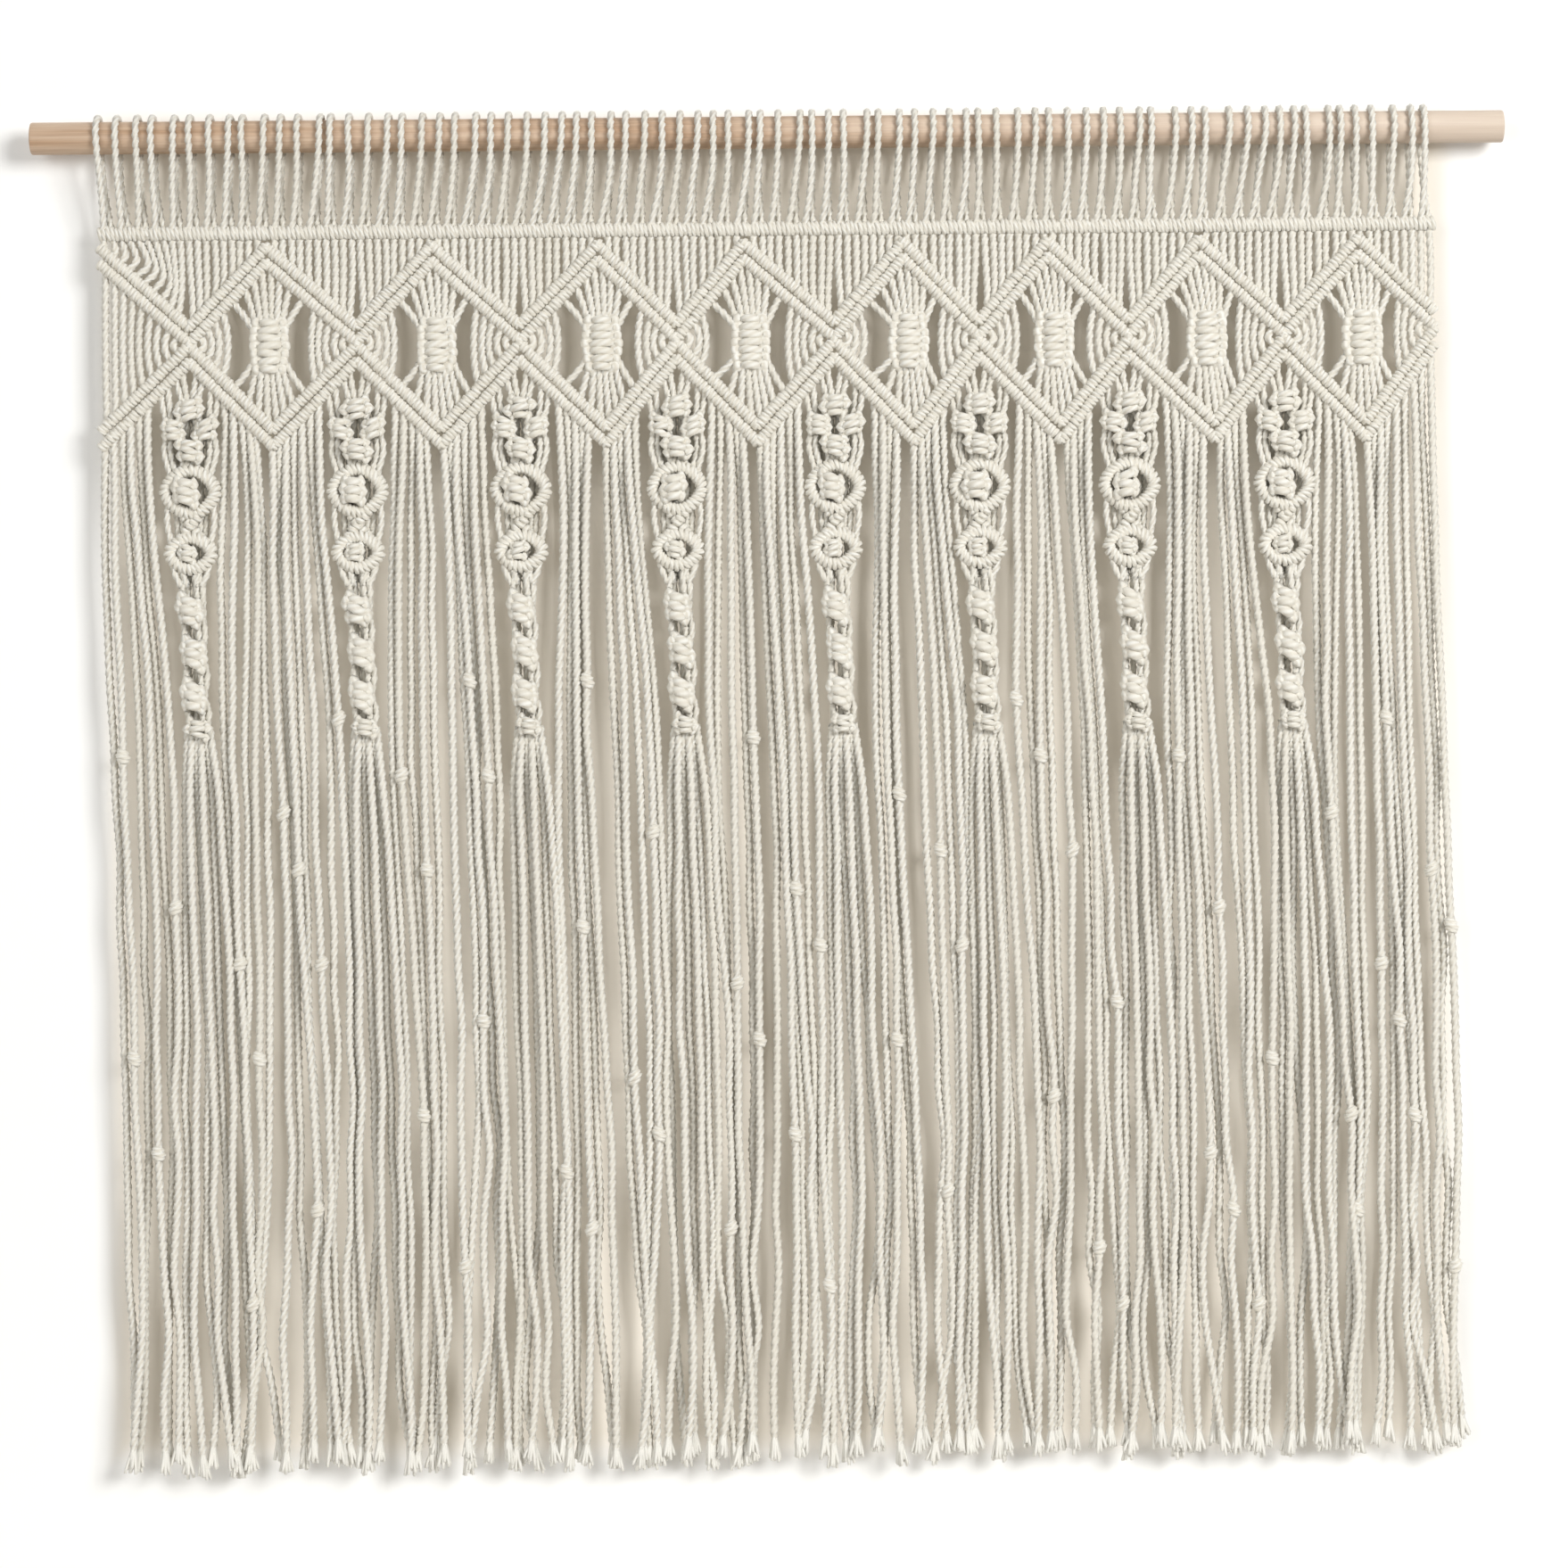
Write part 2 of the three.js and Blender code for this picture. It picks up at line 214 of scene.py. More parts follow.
cotton = make_cotton()
opened_cotton = make_yarn()
print("finishes:", cotton.name, opened_cotton.name)

# %% [markdown]
# Every cord is a tube drawn along a line. A curve object with a bevel could do it, but a curtain
# has thousands of cords and wraps, so each line becomes an array of rings. A hanging cord gets six
# corners a ring, every other one pushed out, and the ring turns as it goes: that gives the three
# plies real relief. Short wraps stay round and take their plies from the finish.

# %% Cords from lines
UV_PER_MM = 0.01


def bend(points, step):
    """One smooth line through the points, with a point about every `step` millimetres."""
    points = np.asarray(points, float)
    first = 2 * points[0] - points[1]
    last = 2 * points[-1] - points[-2]
    held = np.vstack([first, points, last])
    stretches = []
    for before, here, there, after in zip(held, held[1:], held[2:], held[3:]):
        count = max(2, round(np.linalg.norm(there - here) / step))
        t = (np.arange(count) / count)[:, None]
        pull = 2 * before - 5 * here + 4 * there - after
        swing = 3 * here - before - 3 * there + after
        stretches.append(here + 0.5 * t * ((there - before) + t * (pull + t * swing)))
    return np.vstack(stretches + [points[-1:]])


def tube(line, radius, across=(0, 1, 0), sides=6, closed=False, relief=0.0, shade=0.0, turn=0.0):
    """Corners, faces, UV and shade of one cord. `across` is never along the line."""
    line = np.asarray(line, float)
    across = np.asarray(across, float)
    count = len(line)
    if closed:
        following = np.roll(line, -1, axis=0)
        ahead = following - np.roll(line, 1, axis=0)
        steps = np.linalg.norm(following - line, axis=1)
    else:
        ahead = np.gradient(line, axis=0)
        steps = np.linalg.norm(np.diff(line, axis=0), axis=1)
    ahead /= np.linalg.norm(ahead, axis=1)[:, None]
    along = np.concatenate([[0], np.cumsum(steps)])
    out = across - ahead * (ahead @ across)[:, None]
    out /= np.linalg.norm(out, axis=1)[:, None]
    other = np.cross(ahead, out)
    corner = np.arange(sides)
    twist = along / PLY_PITCH + turn
    angle = 2 * math.pi * (corner / sides + (twist[:count, None] if relief else 0))
    angle = np.broadcast_to(angle, (count, sides))
    reach = np.broadcast_to(np.asarray(radius, float), (count,))[:, None]
    reach = reach * np.where(corner % 2, 1 - relief, 1 + relief)
    places = line[:, None] + reach[..., None] * (
        np.cos(angle)[..., None] * out[:, None] + np.sin(angle)[..., None] * other[:, None])
    i, j = np.meshgrid(np.arange(len(steps)), corner, indexing="ij")
    beside = (j + 1) % sides
    beyond = (i + 1) % count
    faces = np.stack([i * sides + j, i * sides + beside,
                      beyond * sides + beside, beyond * sides + j], -1)
    lean = np.zeros_like(along) if relief else twist
    u = np.stack([j / sides + lean[i], (j + 1) / sides + lean[i],
                  (j + 1) / sides + lean[i + 1], j / sides + lean[i + 1]], -1)
    v = np.stack([along[i], along[i], along[i + 1], along[i + 1]], -1) * UV_PER_MM
    lay = np.stack([u, v], -1).reshape(-1, 2)
    loops = faces.reshape(-1)
    sizes = np.full(faces.size // 4, 4)
    if not closed:
        start = corner[::-1]
        end = (count - 1) * sides + corner
        flat = np.stack([corner / sides, np.zeros(sides)], -1)
        loops = np.concatenate([loops, start, end])
        lay = np.concatenate([lay, flat, flat])
        sizes = np.concatenate([sizes, [sides, sides]])
    return places.reshape(-1, 3), loops, sizes, lay, np.full(count * sides, shade)


# %% [markdown]
# The cords of one piece are joined into a single mesh and stand for a node of the CAD part. Each
# cord keeps its own shade and its own start of the twist, so no two look quite the same.

# %% Joining cords
HUNG_STEP = 3.0
HUNG_RELIEF = 0.1
CUT_END_SIZES = (0.8, 0.45)


def stacked(tubes, part):
    return np.concatenate([cord[part] for cord in tubes])


def join_cords(name, tubes, nodes, material=cotton):
    """One object from many tubes. It stands for the CAD nodes."""
    counts = np.array([len(cord[0]) for cord in tubes])
    starts = np.concatenate([[0], np.cumsum(counts)[:-1]])
    loops = np.concatenate([cord[1] + start for cord, start in zip(tubes, starts)])
    sizes = stacked(tubes, 2)
    face_starts = np.concatenate([[0], np.cumsum(sizes)[:-1]])
    mesh = bpy.data.meshes.new(name)
    mesh.vertices.add(int(counts.sum()))
    mesh.vertices.foreach_set("co", (stacked(tubes, 0) * MM).ravel())
    mesh.loops.add(len(loops))
    mesh.loops.foreach_set("vertex_index", loops.astype(np.int32))
    mesh.polygons.add(len(sizes))
    mesh.polygons.foreach_set("loop_start", face_starts.astype(np.int32))
    mesh.polygons.foreach_set("use_smooth", np.ones(len(sizes), bool))
    lay = mesh.uv_layers.new(name="cord_lay")
    lay.data.foreach_set("uv", stacked(tubes, 3).ravel())
    shade = mesh.attributes.new("shade", "FLOAT", "POINT")
    shade.data.foreach_set("value", stacked(tubes, 4))
    mesh.update(calc_edges=True)
    mesh.validate()
    mesh.materials.append(material)
    piece = bpy.data.objects.new(name, mesh)
    bpy.context.scene.collection.objects.link(piece)
    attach(piece, "root")
    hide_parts(*nodes)
    print(f"{name}: {len(tubes)} cords, {int(sizes.sum() - 2 * len(sizes))} triangles")


def own_shade():
    """Mostly light, seldom dark."""
    return 0.55 * hand.random() ** 1.5


def own_look():
    return dict(shade=own_shade(), turn=hand.random())


def hung(points, step=HUNG_STEP, radius=CORD_RADIUS, cut=False):
    """A twisted cord through the points. A cut end is drawn in, and its brush covers it."""
    line = bend(points, step)
    sizes = np.full(len(line), radius)
    if cut:
        sizes[-2:] *= CUT_END_SIZES
    return tube(line, sizes, relief=HUNG_RELIEF, **own_look())


# %% [markdown]
# The rod's wood is dry and hardly shines. Its grain runs lengthways, so the noise that colours it is
# stretched a long way along the rod. Toward its right end the colour turns paler as painted light.

# %% Wood finish
GRAIN_STRETCH = (3, 90, 90)
PORE_STRETCH = (25, 900, 900)
DARK_GRAIN = (0.43, 0.275, 0.17, 1)
PALE_GRAIN = (0.69, 0.545, 0.42, 1)
# Painted light: toward its right end the rod's colour turns toward this paler one, between these places.
WOOD_IN_PAINTED_LIGHT = (0.67, 0.59, 0.51, 1)
PAINTED_LIGHT_FROM, PAINTED_LIGHT_TO, PAINTED_LIGHT_MOST = -0.2, 0.55, 0.6


def stretched(nodes, links, place, scale):
    mapping = nodes.new("ShaderNodeMapping")
    mapping.inputs["Scale"].default_value = scale
    links.new(place, mapping.inputs["Vector"])
    return mapping.outputs[0]


def make_wood():
    material, nodes, links, shader = new_material("pale_wood")
    place = place_on_object(nodes)
    grain = noise_on(nodes, links, stretched(nodes, links, place, GRAIN_STRETCH), scale=1.0, detail=5)
    pores = noise_on(nodes, links, stretched(nodes, links, place, PORE_STRETCH), scale=1.0, detail=3)
    ramp = nodes.new("ShaderNodeValToRGB")
    ramp.color_ramp.elements[0].position = 0.32
    ramp.color_ramp.elements[0].color = DARK_GRAIN
    ramp.color_ramp.elements[1].position = 0.68
    ramp.color_ramp.elements[1].color = PALE_GRAIN
    links.new(grain, ramp.inputs["Fac"])
    streaked = mix_colours(nodes, links, 0.3, ramp.outputs["Color"], pores, "OVERLAY")
    along_rod = split_axes(nodes, links, place)[0]
    # Painted light: the colour turns paler toward the right end of the rod.
    to_right = fade(nodes, links, along_rod, PAINTED_LIGHT_FROM, PAINTED_LIGHT_TO)
    painted_light_share = link_maths(nodes, links, "MULTIPLY", to_right, PAINTED_LIGHT_MOST)
    wood_with_painted_light = mix_colours(nodes, links, painted_light_share, streaked, WOOD_IN_PAINTED_LIGHT)
    links.new(wood_with_painted_light, shader.inputs["Base Color"])
    gloss = nodes.new("ShaderNodeMapRange")
    gloss.inputs["To Min"].default_value = 0.48
    gloss.inputs["To Max"].default_value = 0.7
    links.new(pores, gloss.inputs["Value"])
    links.new(gloss.outputs[0], shader.inputs["Roughness"])
    add_relief(nodes, links, shader, pores, strength=0.35, depth=0.15)
    shader.inputs["Specular IOR Level"].default_value = 0.35
    return material


wood = make_wood()
print("finish:", wood.name)

# %% [markdown]
# The rod is a plain turned dowel with eased ends. A cylinder cut to length and a small bevel on its
# end rims is all that is done to it in a workshop, so it is made the same way here.

# %% Wooden rod
ROD_SIDES = 48
RIM_BEVEL = 1.4


def make_rod():
    shape = bmesh.new()
    bmesh.ops.create_cone(shape, cap_ends=True, segments=ROD_SIDES, radius1=ROD_RADIUS * MM,
                          radius2=ROD_RADIUS * MM, depth=ROD_LENGTH * MM)
    rims = [e for e in shape.edges if abs(e.verts[0].co.z - e.verts[1].co.z) < 1e-6]
    bmesh.ops.bevel(shape, geom=rims, offset=RIM_BEVEL * MM, offset_type="OFFSET", segments=3,
                    profile=0.5, affect="EDGES", material=-1)
    lay_down = Matrix.Rotation(math.pi / 2, 3, "Y")
    bmesh.ops.rotate(shape, verts=shape.verts, cent=(0, 0, 0), matrix=lay_down)
    for face in shape.faces:
        face.smooth = len(face.verts) < ROD_SIDES
    mesh = bpy.data.meshes.new("turned_rod")
    shape.to_mesh(mesh)
    shape.free()
    mesh.materials.append(wood)
    piece = bpy.data.objects.new("turned_rod", mesh)
    bpy.context.scene.collection.objects.link(piece)
    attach(piece, "root")
    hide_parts("rod")
    print("turned_rod:", len(mesh.polygons), "faces")


make_rod()

# %% [markdown]
# Each of the 78 cords is doubled over the rod. Its front leg comes down before the rod and its back
# leg behind it, and both run to the first row of knots, where they part a little. The line of a
# loop is a half circle over the rod with two nearly straight legs. Makers never space loops quite
# evenly, so each one strays along the rod and leans.

# %% Loops over the rod
LOOP_COUNT = CORD_COUNT // 2
LOOP_RADIUS = ROD_RADIUS + CORD_RADIUS + 0.2
LOOP_RELIEF = 0.13
LOOP_SWAY = 3.0
LOOP_BOW = 1.2
BAND_LEVEL = -72.0
LEANING_LOOPS = (0, 8, 14, 26, 36, 48, 60, 67, 72, 77)
LEANS = (-5, 1, 5, 8, 6, 1, 2, 6, 1, -1)
# Up from the band, out from the rod's plane, and shares of the parting, the lean and the bow.
LEG_POINTS = ((2, 1.2, 1.0, 0.0, 0.0), (14, 3.4, 0.55, 0.2, 0.0),
              (34, 7.6, 0.14, 0.53, 1.0), (55, 11.8, 0.0, 0.85, 0.6))


def loop_line(index):
    left, right = CORD_PLACES[2 * index:2 * index + 2]
    middle = (left + right) / 2
    lean = np.interp(index, LEANING_LOOPS, LEANS)
    lean += LOOP_SWAY * hand.uniform(-1, 1)
    bow = hand.uniform(-LOOP_BOW, LOOP_BOW)
    over = [(middle + lean, -LOOP_RADIUS * math.cos(a), LOOP_RADIUS * math.sin(a))
            for a in np.linspace(0, math.pi, 9)]
    legs = []
    for foot, face in ((left, -1), (right, 1)):
        legs.append([(middle + part * (foot - middle) + tilt * lean + belly * bow, out * face,
                      BAND_LEVEL + up) for up, out, part, tilt, belly in LEG_POINTS])
    front, back = legs
    return bend(front + over + back[::-1], HUNG_STEP)


def make_loops():
    tubes = []
    for index in range(LOOP_COUNT):
        tubes.append(tube(loop_line(index), CORD_RADIUS, across=(1, 0, 0), relief=LOOP_RELIEF,
                          **own_look()))
    join_cords("hung_loops", tubes, ["heading"])


make_loops()

# %% [markdown]
# A row of half hitches hides one straight cord under wraps that lie side by side. Every cord wraps
# it twice. A wrap is a small ring whose hole holds that hidden cord, set a little askew. The same
# rings make the straight band under the rod, the diagonal bars and the rings of the pendants.

# %% Rows of half hitches
WRAP_STEPS = 7
WRAP_SIDES = 5
WRAP_STRAY = 0.18
WRAP_UNEVEN = 0.06
HIDDEN_SHADE = 0.5


def wrap(centre, ahead, width, depth, thick, askew, shade):
    """One wrap round a hidden cord that runs along `ahead` in the plane of the curtain."""
    c, s = math.cos(askew), math.sin(askew)
    axis = np.array([ahead[0] * c - ahead[2] * s, 0, ahead[0] * s + ahead[2] * c])
    side = np.array([-axis[2], 0, axis[0]])
    turn = 2 * math.pi * np.arange(WRAP_STEPS) / WRAP_STEPS
    line = centre + width * np.cos(turn)[:, None] * side
    line = line + depth * np.sin(turn)[:, None] * np.array([0, -1, 0])
    return tube(line, thick, across=axis, sides=WRAP_SIDES, closed=True, shade=shade,
                turn=hand.random())


def hitched_row(corners, pitch, width, depth, thick, lean=0.04):
    """Wraps along a line of straight stretches, with the hidden cord inside them."""
    corners = np.asarray(corners, float)
    tubes = [tube(corners, width, sides=WRAP_SIDES, shade=HIDDEN_SHADE)]
    for start, end in zip(corners, corners[1:]):
        length = np.linalg.norm(end - start)
        ahead = (end - start) / length
        count = max(2, round(length / pitch))
        for k in range(count):
            centre = start + (end - start) * k / (count - 1)
            centre = centre + hand.normal(0, WRAP_STRAY, 3)
            size = 1 + WRAP_UNEVEN * hand.standard_normal()
            askew = lean + WRAP_UNEVEN * hand.standard_normal()
            tubes.append(wrap(centre, ahead, width * size, depth * size, thick, askew, own_shade()))
    return tubes


band_ends = [(LEFT_EDGE, 0, BAND_LEVEL), (RIGHT_EDGE, 0, BAND_LEVEL)]
band = hitched_row(band_ends, pitch=3.2, width=4.4, depth=3.4, thick=1.9, lean=0.22)
join_cords("straight_band", band, ["heading"])

# %% [markdown]
# The diagonal rows zigzag from edge to edge: two rows that touch make the upper bar of every
# diamond, two more make the lower one. The places where they turn are read off the curtain. Each
# list of places has one number for every diamond.

# %% Diagonal bars
CROSSINGS = np.array([-433, -308, -186, -69, 49, 157, 269, 385], float)
TOPS = np.array([-375, -251, -127, -18, 101, 209, 322, 441], float)
BOTTOMS = np.array([-371, -245, -122, -9, 108, 218, 333, 446], float)
UPPER_APEX, UPPER_CROSS = -88.5, -148.0
LOWER_APEX, LOWER_CROSS = -219.0, -156.0
RIGHT_RISE = 5.0
ROW_STEP = 5.9
LOWEST_DROP = 2 * ROW_STEP + 0.6
BAR_WRAPS = dict(pitch=3.1, width=2.85, depth=4.6, thick=2.05)


def turns_of(apexes, apex_level, cross_level):
    x = np.empty(2 * len(apexes))
    x[0::2], x[1::2] = CROSSINGS, apexes
    z = np.tile([cross_level, apex_level], len(apexes))
    x = np.concatenate([[LEFT_EDGE], x, [RIGHT_EDGE]])
    return x, np.concatenate([[apex_level], z, [cross_level + RIGHT_RISE]])


def row_corners(turns, drop):
    x, z = turns
    return np.stack([x, np.zeros_like(x), z - drop], -1)


def level(turns, x, drop=0.0):
    """The height of a diagonal row at x."""
    return np.interp(x, *turns) - drop


upper_turns = turns_of(TOPS, UPPER_APEX, UPPER_CROSS)
lower_turns = turns_of(BOTTOMS, LOWER_APEX, LOWER_CROSS)
upper_rows = hitched_row(row_corners(upper_turns, -ROW_STEP), **BAR_WRAPS)
upper_rows += hitched_row(row_corners(upper_turns, ROW_STEP), **BAR_WRAPS)
join_cords("upper_bars", upper_rows, ["panel"])
join_cords("lower_bars", hitched_row(row_corners(lower_turns, 0), **BAR_WRAPS), ["panel"])
lowest_row = hitched_row(row_corners(lower_turns, LOWEST_DROP), **BAR_WRAPS)
join_cords("fringe_bars", lowest_row, ["fringe"])

# %% [markdown]
# From the band the cords hang straight down to the upper bars. Over each crossing they part and
# leave a small hole. At the left edge, where the first bar starts, they bow out to the right and
# leave crescent gaps.

# %% Cords between the band and the bars
PANEL_RADIUS = 2.85
HOLE_PARTING, HOLE_REACH = 2.4, 9.0
CRESCENTS_AT, CRESCENTS_REACH = -466.0, 34.0
CRESCENT_BELLY, CRESCENT_HIP, CRESCENT_FOOT = 5.5, 8.0, 4.0
SHORTEST_CORD = 9.0


def make_upper_cords():
    tubes = []
    high = BAND_LEVEL - 3
    for x in CORD_PLACES:
        away = x - CROSSINGS[np.argmin(abs(CROSSINGS - x))]
        part = math.copysign(HOLE_PARTING, away) * math.exp(-(away / HOLE_REACH) ** 2)
        edge = max(0.0, 1 - abs(x - CRESCENTS_AT) / CRESCENTS_REACH)
        foot = x + part - CRESCENT_FOOT * edge
        low = level(upper_turns, foot, -ROW_STEP)
        if high - low < SHORTEST_CORD:
            continue
        sway = hand.uniform(-0.8, 0.8)
        deep = 1.0 + hand.uniform(-0.7, 0.9)
        belly = x + CRESCENT_BELLY * edge + sway
        hip = x + CRESCENT_HIP * edge + part * 0.6 + sway
        line = [(x, 0.5, high), (belly, deep, high + 0.35 * (low - high)),
                (hip, deep, high + 0.7 * (low - high)), (foot, 0.5, low)]
        tubes.append(hung(line, radius=PANEL_RADIUS))
    return tubes


join_cords("cords_under_band", make_upper_cords(), ["panel"])

# %% [markdown]
# In each diamond the outer cords cross it as nested bows beside the two crossings, and the inner
# ones fan in to a bundle of square knots in the middle. The outer cords of a fan reach the sides of
# the bundle, and between bows and bundle a hole stays open at both sides. Left of the first
# crossing there is half a diamond with bows only.

# %% Bows and fans in the diamonds
BOW_MIDDLES = (11.0, 17.0, 22.8, 28.4, 33.8)
BOW_DEPTHS = (6.0, 5.6, 5.0, 4.2, 3.2)
SHOULDER_OUT, SHOULDER_UP = 0.75, 0.55
ROOM_LEFT_OF_BUNDLE, ROOM_RIGHT_OF_BUNDLE = 28.0, 22.0
FAN_SHARES = (0.1, 0.29, 0.5, 0.79)
FAN_AT_BUNDLE = (2.0, 5.8, 9.2, 11.6)
FAN_SINKS = (3.0, 3.5, 5.0, 8.0)
BUNDLE_TOP, BUNDLE_FOOT = -136.5, -177.0
EDGE_BOWS = [(12.0 + 6.3 * k, max(0.4, 6.4 - 0.8 * k)) for k in range(9)]


def bow_line(crossing, side, middle, depth):
    at_bars = crossing + side * (middle - depth)
    top = level(upper_turns, at_bars, ROW_STEP)
    foot = level(lower_turns, at_bars)
    half = (top + foot) / 2
    rise = SHOULDER_UP * (top - half)
    deep = hand.uniform(-0.6, 1.2)
    out = crossing + side * (middle + hand.uniform(-0.6, 0.6))
    shoulder = at_bars + SHOULDER_OUT * (out - at_bars)
    return [(at_bars, 0.8, top), (shoulder, deep, half + rise), (out, deep, half),
            (shoulder, deep, half - rise), (at_bars, 0.8, foot)]


def fan_lines(top, bottom, side, bows_end):
    """Cords from the bars to one side of a bundle. The outer ones reach it below its top."""
    for share, at_bundle, sink in zip(FAN_SHARES, FAN_AT_BUNDLE, FAN_SINKS):
        deep = hand.uniform(-1.0, 0.6)
        for apex, turns, drop, end in ((top, upper_turns, ROW_STEP, BUNDLE_TOP - sink),
                                       (bottom, lower_turns, 0, BUNDLE_FOOT + sink)):
            x = apex + share * (bows_end - apex)
            at = level(turns, x, drop)
            reach = (top + bottom) / 2 + side * at_bundle
            yield [(x, 1.0, at), (x + 0.5 * (reach - x), deep - 0.5, at + 0.45 * (end - at)),
                   (reach, deep - 1.5, end)]


def half_diamond(crossing, top, bottom, side, room):
    """The bows beside a crossing, as many as leave room for a hole, and the fan of that side."""
    widest = abs((top + bottom) / 2 - crossing) - room
    bows = [bow for bow in zip(BOW_MIDDLES, BOW_DEPTHS) if bow[0] < widest]
    lines = [bow_line(crossing, -side, *bow) for bow in bows]
    middle, depth = bows[-1]
    lines += fan_lines(top, bottom, side, crossing - side * (middle - depth))
    return [hung(line, radius=PANEL_RADIUS) for line in lines]


def make_diamond_cords():
    tubes = []
    beyond = np.append(CROSSINGS[1:], RIGHT_EDGE + 6)
    for crossing, following, top, bottom in zip(CROSSINGS, beyond, TOPS, BOTTOMS):
        tubes += half_diamond(crossing, top, bottom, -1, ROOM_LEFT_OF_BUNDLE)
        tubes += half_diamond(following, top, bottom, 1, ROOM_RIGHT_OF_BUNDLE)
    for bow in EDGE_BOWS:
        tubes.append(hung(bow_line(CROSSINGS[0], -1, *bow), radius=PANEL_RADIUS))
    return tubes


join_cords("diamond_cords", make_diamond_cords(), ["panel"])

# %% [markdown]
# A square knot ties two cords across a core, so from the front it shows a level bar with a bump at
# each side. A bundle is a column of such knots, a little narrower at both ends. Each bar is a flat
# closed loop round the core and each bump a short bow at its end.

# %% Bundles of square knots
BUNDLE_ROWS = 7
BUNDLE_TAPER = 0.3
CORE_PLACES = np.linspace(-8, 8, 5)
KNOT_HALF, KNOT_DEPTH, KNOT_THICK, KNOT_BUMP = 6.8, 6.0, 3.2, 4.8
KNOT_SLANT = 0.09


def knot_column(centre):
    """Level loops round a core with bumps between them at both sides."""
    tubes = []
    turn = 2 * math.pi * np.arange(14) / 14
    squash = np.sign(np.cos(turn)) * abs(np.cos(turn)) ** 0.75
    levels = np.linspace(BUNDLE_TOP - 3, BUNDLE_FOOT + 3, BUNDLE_ROWS)
    halves = KNOT_HALF * (1 - BUNDLE_TAPER * np.linspace(-1, 1, BUNDLE_ROWS) ** 2)
    for k, (z, half) in enumerate(zip(levels, halves)):
        slope = (KNOT_SLANT if k % 2 else -KNOT_SLANT) + 0.4 * KNOT_SLANT * hand.standard_normal()
        line = np.stack([centre + half * squash, -KNOT_DEPTH * np.sin(turn) - 0.6,
                         z + slope * half * squash], -1)
        tubes.append(tube(line, KNOT_THICK, across=(0, 0, 1), closed=True, **own_look()))
    gap = (levels[0] - levels[-1]) / (BUNDLE_ROWS - 1)
    for z, half in zip(levels, halves):
        for side in (-1, 1):
            x = centre + side * half
            out = x + side * KNOT_BUMP * hand.uniform(0.85, 1.15)
            line = [(x - 2 * side, 1.5, z + 0.52 * gap), (out, -2.0, z + 0.3 * gap),
                    (out + 0.8 * side, -3.0, z), (out, -2.0, z - 0.3 * gap),
                    (x - 2 * side, 1.5, z - 0.52 * gap)]
            tubes.append(tube(bend(line, 3), KNOT_THICK, **own_look()))
    return tubes


def make_bundles():
    tubes = []
    for middle in (TOPS + BOTTOMS) / 2:
        for x in middle + CORE_PLACES:
            tubes.append(hung([(x, -0.5, BUNDLE_TOP + 2), (x, -0.5, BUNDLE_FOOT - 2)]))
        tubes += knot_column(middle)
    return tubes


join_cords("knot_bundles", make_bundles(), ["panel"])

# %% [markdown]
# Eight cords at each crossing go on into a pendant. Most of its knots are small round lumps, which
# makers call berries: a few square knots rolled up into a ball. From the front a berry shows three
# bars, often aslant, with a bump at both ends of each.

# %% Berries
BERRY_TURN = 2 * math.pi * np.arange(12) / 12


def make_berry(centre, middle, wide, high, lean=None):
    """Three bars, one over the other, with a bump at both ends of each."""
    tubes = []
    thick = high / 3
    if lean is None:
        lean = hand.choice((-1, 1)) * hand.uniform(0.1, 0.3)
    for row in (-1, 0, 1):
        size = 1 - 0.2 * abs(row) + 0.05 * hand.standard_normal()
        slope = lean + 0.12 * hand.standard_normal()
        z = middle + 1.9 * thick * row
        bar = 0.46 * wide * size
        reach = (wide - thick) * size
        deep = 0.85 * wide * size
        line = np.stack([centre + bar * np.cos(BERRY_TURN), -deep * np.sin(BERRY_TURN) - 1.5,
                         z + slope * bar * np.cos(BERRY_TURN)], -1)
        tubes.append(tube(line, 1.05 * thick, across=(0, 0, 1), closed=True, **own_look()))
        for side in (-1, 1):
            tilt = z + side * slope * reach
            line = [(centre + side * bar, -0.75 * deep, tilt + 1.1 * thick),
                    (centre + side * reach, -0.55 * deep, tilt),
                    (centre + side * bar, -0.75 * deep, tilt - 1.1 * thick)]
            tubes.append(tube(bend(line, 2.5), thick, **own_look()))
    return tubes


# %% [markdown]
# Two rings of half hitches hold a berry each. A ring is the same row of wraps round a hidden cord,
# laid along a rounded diamond instead of a straight line.

# %% Rings
RING_ONE = dict(middle=-265.0, wide=18.5, high=16.3)
RING_TWO = dict(middle=-311.0, wide=15.6, high=11.8)
RING_CORNER = 1.2
RING_POINTS = 240
RING_CORD = 2.7
RING_PITCH = 3.4
RING_LEAN, RING_UNEVEN = 0.3, 0.08


def ring_line(crossing, middle, wide, high):
    """A rounded diamond."""
    turn = 2 * math.pi * np.arange(RING_POINTS) / RING_POINTS
    c, s = np.cos(turn), np.sin(turn)
    x = crossing + wide * np.sign(c) * abs(c) ** RING_CORNER
    z = middle + high * np.sign(s) * abs(s) ** RING_CORNER
    return np.stack([x, np.zeros(RING_POINTS), z], -1)


